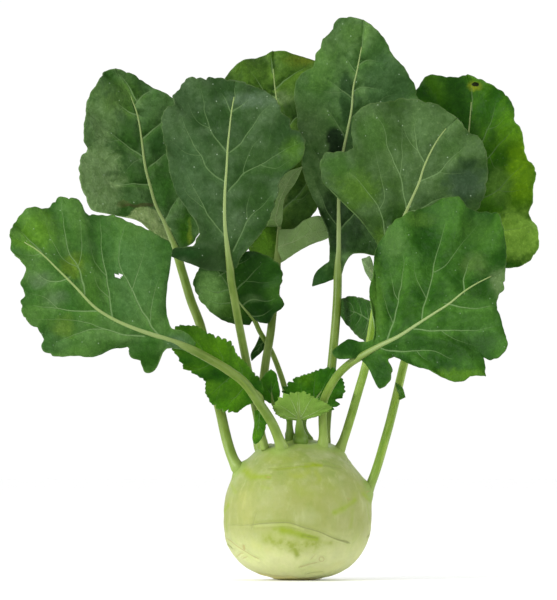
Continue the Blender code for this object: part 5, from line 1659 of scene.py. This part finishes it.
def upper_skin(paint, look, settings):
    """Dark green with a waxy bloom, patches of other greens, some of them painted shadow and painted light,
    painted shade and light in its folds and hollows, a net of fine veins and pale side veins."""
    at = blade_pattern(paint)
    blotch, mottle = at.blotch, at.mottle
    # Painted shade in the hollows and painted light on the swells, with the leaf's own uneven tone
    colour = paint.mix(at.light, look.deep, look.light)
    colour = paint.mix(blotch.rise(0.50, 0.72) * 0.35, colour, tuple(v * 1.25 for v in look.light))
    frost = (at.cloud * 0.6 + blotch * 0.6).rise(0.50, 0.80) * look.bloom
    colour = paint.mix((frost * (0.25 + mottle * 0.5)).clamped(), colour, tuple(settings.bloom))
    # Patches of other greens: some are the leaf's own colour, some are painted shadow where other leaves
    # shade it, and some are painted light where light shines through it.
    for x, z, wide, tall, tone, share, *edge in look.patches:
        edge = edge[0] if edge else SOFT_EDGE
        spread = paint.patch((x * MM, 0.0, z * MM), (wide * MM, tall * MM), at.web)
        ragged = (blotch - 0.5) * (1.3 * edge) + (mottle - 0.5) * 0.5
        soft = (spread + ragged).fall(1.15 - edge, 1.15)
        colour = paint.mix(soft * (share * (0.85 + mottle * 0.3)), colour, tone)
    # Painted shade and light of the folds: darker just above each vein, paler just below it, and darker
    # crinkles painted along the folds.
    crease = paint.value("crease") * look.crease
    fold = paint.noise(0.0050, 2.0, at.web).rise(0.50, 0.60)
    tints = (
        ((crease * (0.55 + fold * 0.4)).clamped(), (0.46, 0.56, 0.36)),
        ((crease * -0.55).clamped(), (1.9, 1.7, 1.8)),
        (fold * (0.34 * look.crease), (0.55, 0.64, 0.45)),
        (mottle.rise(0.42, 0.62) * 0.42, (0.62, 0.72, 0.52)),
        # painted shade towards the edges of the small domes, in the hollows between them
        (at.dome.rise(0.15, 0.55) * 0.34, (0.62, 0.72, 0.50)),
        (at.fine.rise(0.54, 0.70) * 0.45, (1.7, 1.5, 1.7)),
        (at.net * 0.22, (1.9, 1.7, 1.9)),
        (at.beside * 0.20, (1.7, 1.6, 1.8)),
    )
    for share, tint in tints:
        colour = paint.tint(share, colour, tint)
    shown = (at.line * look.vein * (0.7 + mottle * 0.4)).clamped()
    colour = paint.mix(shown, colour, tuple(settings.vein))
    # A paler margin: partly its own paler green, partly a painted highlight along the edge
    colour = paint.mix(paint.value("from_edge").fall(0.0, 0.0008) * 0.14, colour, PALE_MARGIN)
    speck = paint.cells(0.0038).fall(0.060, 0.110) * blotch.rise(0.46, 0.56)
    colour = paint.mix(speck * 0.8 * min(1.0, look.bloom + 0.15), colour, WHITE_SPECK)
    rough = 0.42 + frost * 0.2 + at.fine * 0.10
    height = at.line * -0.7 - at.net * 0.25 + mottle * 0.5 - at.dome * 1.1 + at.fine * 0.12
    return paint.finish(colour, rough, paint.bump(height, BLADE_BUMP, 0.7))


def under_skin(paint, look):
    """Pale dull green, with the lines and the net standing out."""
    at = blade_pattern(paint)
    # Painted shade in the hollows and painted light on the swells, with the leaf's own uneven tone
    colour = paint.mix(at.light, tuple(v * 0.72 for v in look.under), look.under)
    colour = paint.mix(at.net * 0.35, colour, tuple(min(1, v * 1.3) for v in look.under))
    colour = paint.tint(at.blotch.rise(0.42, 0.66) * 0.45, colour, (0.62, 0.74, 0.48))
    colour = paint.tint(at.mottle.rise(0.40, 0.65) * 0.35, colour, (0.70, 0.80, 0.60))
    colour = paint.mix((at.line * 0.8).clamped(), colour, UNDER_VEIN)
    rough = 0.55 + at.fine * 0.12
    height = at.line * 1.3 + at.net * 0.6 + at.mottle * 0.35
    return paint.finish(colour, rough, paint.bump(height, BLADE_BUMP, 0.7))


def blade_finishes(name, look, settings):
    """The upper and the under skin of one leaf."""
    upper, under = (Paint(f"{name}_{face}_skin", roughness=0.5, specular=0.06) for face in ("upper", "under"))
    return upper_skin(upper, look, settings), under_skin(under, look)


# ---------------------------------------------------------------- the stage
VIEW_MIDDLE = Vector((-0.0103, 0.0, 0.1524))  # what the camera and the lights look at
VIEW_SPAN = 0.3265  # what the picture's longer side takes in there
CLIP_END = 80
FLOOR_HALF = 3.0
LIGHTS = (
    # name, spot, size, share of the key light's power
    ("key", (-1.25, -1.15, 0.70), 0.5, 1.0),
    ("fill", (1.75, -0.45, 0.20), 0.9, 0.60),
    ("side", (-1.80, -0.25, 0.20), 0.9, 0.35),
    ("back", (0.4, 1.6, 1.0), 0.9, 0.08),
)


def aim(name, data, spot, at):
    """An object of the stage at a spot, turned to look at another."""
    obj = bpy.data.objects.new(name, data)
    obj.location = spot
    obj.rotation_euler = (at - Vector(spot)).to_track_quat("-Z", "Y").to_euler()
    bpy.context.scene.collection.objects.link(obj)
    return obj


def build_stage(settings):
    """A wide pale floor, an even white sky, four soft lights and a camera at the front."""
    bm = bmesh.new()
    bmesh.ops.create_grid(bm, x_segments=2, y_segments=2, size=FLOOR_HALF)
    floor_mesh = object_from("sweep", bm, sweep_finish(settings))
    world = bpy.data.worlds.new("soft_box")
    world.use_nodes = True
    sky = world.node_tree.nodes["Background"]
    sky.inputs["Color"].default_value = (1.0, 1.0, 1.0, 1)
    sky.inputs["Strength"].default_value = settings.sky
    scene = bpy.context.scene
    scene.world = world
    scene.view_settings.view_transform = "Standard"
    for name, spot, size, share in LIGHTS:
        lamp = bpy.data.lights.new(name, "AREA")
        lamp.shape = "DISK"
        lamp.size = size
        lamp.energy = settings.key * share
        aim(name, lamp, spot, VIEW_MIDDLE)
    camera = bpy.data.cameras.new("camera")
    camera.lens = camera.sensor_width * settings.distance / VIEW_SPAN
    camera.clip_end = CLIP_END
    spot = VIEW_MIDDLE + Vector((0, -settings.distance, settings.height))
    scene.camera = aim("camera", camera, spot, VIEW_MIDDLE)


def sweep_finish(settings):
    paint = Paint("pale_sweep", roughness=0.6)
    grain = paint.noise(0.02, 3.0)
    colour = paint.mix(grain * 0.3, tuple(settings.floor), (0.86, 0.86, 0.86))
    return paint.finish(colour)


# ---------------------------------------------------------------- operators and panel
class KOHLRABI_OT_bulb(bpy.types.Operator):
    """Grow the bulb with its leaf scars and root cut"""

    bl_idname = "kohlrabi.bulb"
    bl_label = "Bulb"

    def execute(self, context):
        build_bulb(context.scene.kohlrabi_bulb)
        return {"FINISHED"}


class KOHLRABI_OT_stalks(bpy.types.Operator):
    """Grow each leaf's stalk and rib"""

    bl_idname = "kohlrabi.stalks"
    bl_label = "Stalks and ribs"

    def execute(self, context):
        settings = context.scene.kohlrabi_stalks
        finish = stalk_finish(settings)
        for leaf in LEAVES:
            build_stalk(leaf, settings, finish)
        return {"FINISHED"}


class KOHLRABI_OT_blades(bpy.types.Operator):
    """Grow each leaf's blade and its loose leaflets"""

    bl_idname = "kohlrabi.blades"
    bl_label = "Blades and leaflets"

    def execute(self, context):
        settings = context.scene.kohlrabi_blades
        for leaf in LEAVES:
            look = LOOKS[leaf.name]
            finishes = blade_finishes(leaf.name, look, settings)
            stem = f"leaf_{leaf.name}"
            build_blade(stem + "_blade", leaf.blade, look, settings, finishes)
            for number, lobe in enumerate(leaf.lobes, 1):
                build_blade(f"{stem}_lobe_{number}", lobe, look, settings, finishes, is_leaflet=True)
        return {"FINISHED"}


class KOHLRABI_OT_stage(bpy.types.Operator):
    """Set up the pale floor, the soft lights and the camera"""

    bl_idname = "kohlrabi.stage"
    bl_label = "Stage"

    def execute(self, context):
        build_stage(context.scene.kohlrabi_stage)
        return {"FINISHED"}


OPERATORS = (KOHLRABI_OT_bulb, KOHLRABI_OT_stalks, KOHLRABI_OT_blades, KOHLRABI_OT_stage)


class KOHLRABI_PT_panel(bpy.types.Panel):
    """The kohlrabi's pieces, with the sizes and colours of each"""

    bl_idname = "KOHLRABI_PT_panel"
    bl_label = "Kohlrabi"
    bl_space_type = "VIEW_3D"
    bl_region_type = "UI"
    bl_category = "Kohlrabi"

    def draw(self, context):
        for operator, name in zip(OPERATORS, SETTINGS):
            box = self.layout.box()
            box.operator(operator.bl_idname)
            settings = getattr(context.scene, name)
            for key in settings.bl_rna.properties.keys():
                if key not in {"rna_type", "name"}:
                    box.prop(settings, key)


def register():
    for made in (*SETTINGS.values(), *OPERATORS, KOHLRABI_PT_panel):
        bpy.utils.register_class(made)
    for name, settings in SETTINGS.items():
        setattr(bpy.types.Scene, name, bpy.props.PointerProperty(type=settings))


def unregister():
    for name in SETTINGS:
        delattr(bpy.types.Scene, name)
    for made in (KOHLRABI_PT_panel, *reversed(OPERATORS), *reversed(SETTINGS.values())):
        bpy.utils.unregister_class(made)


def main():
    register()
    bpy.ops.kohlrabi.bulb()
    bpy.ops.kohlrabi.stalks()
    bpy.ops.kohlrabi.blades()
    bpy.ops.kohlrabi.stage()
    bpy.context.view_layer.update()


if __name__ == "__main__":
    main()
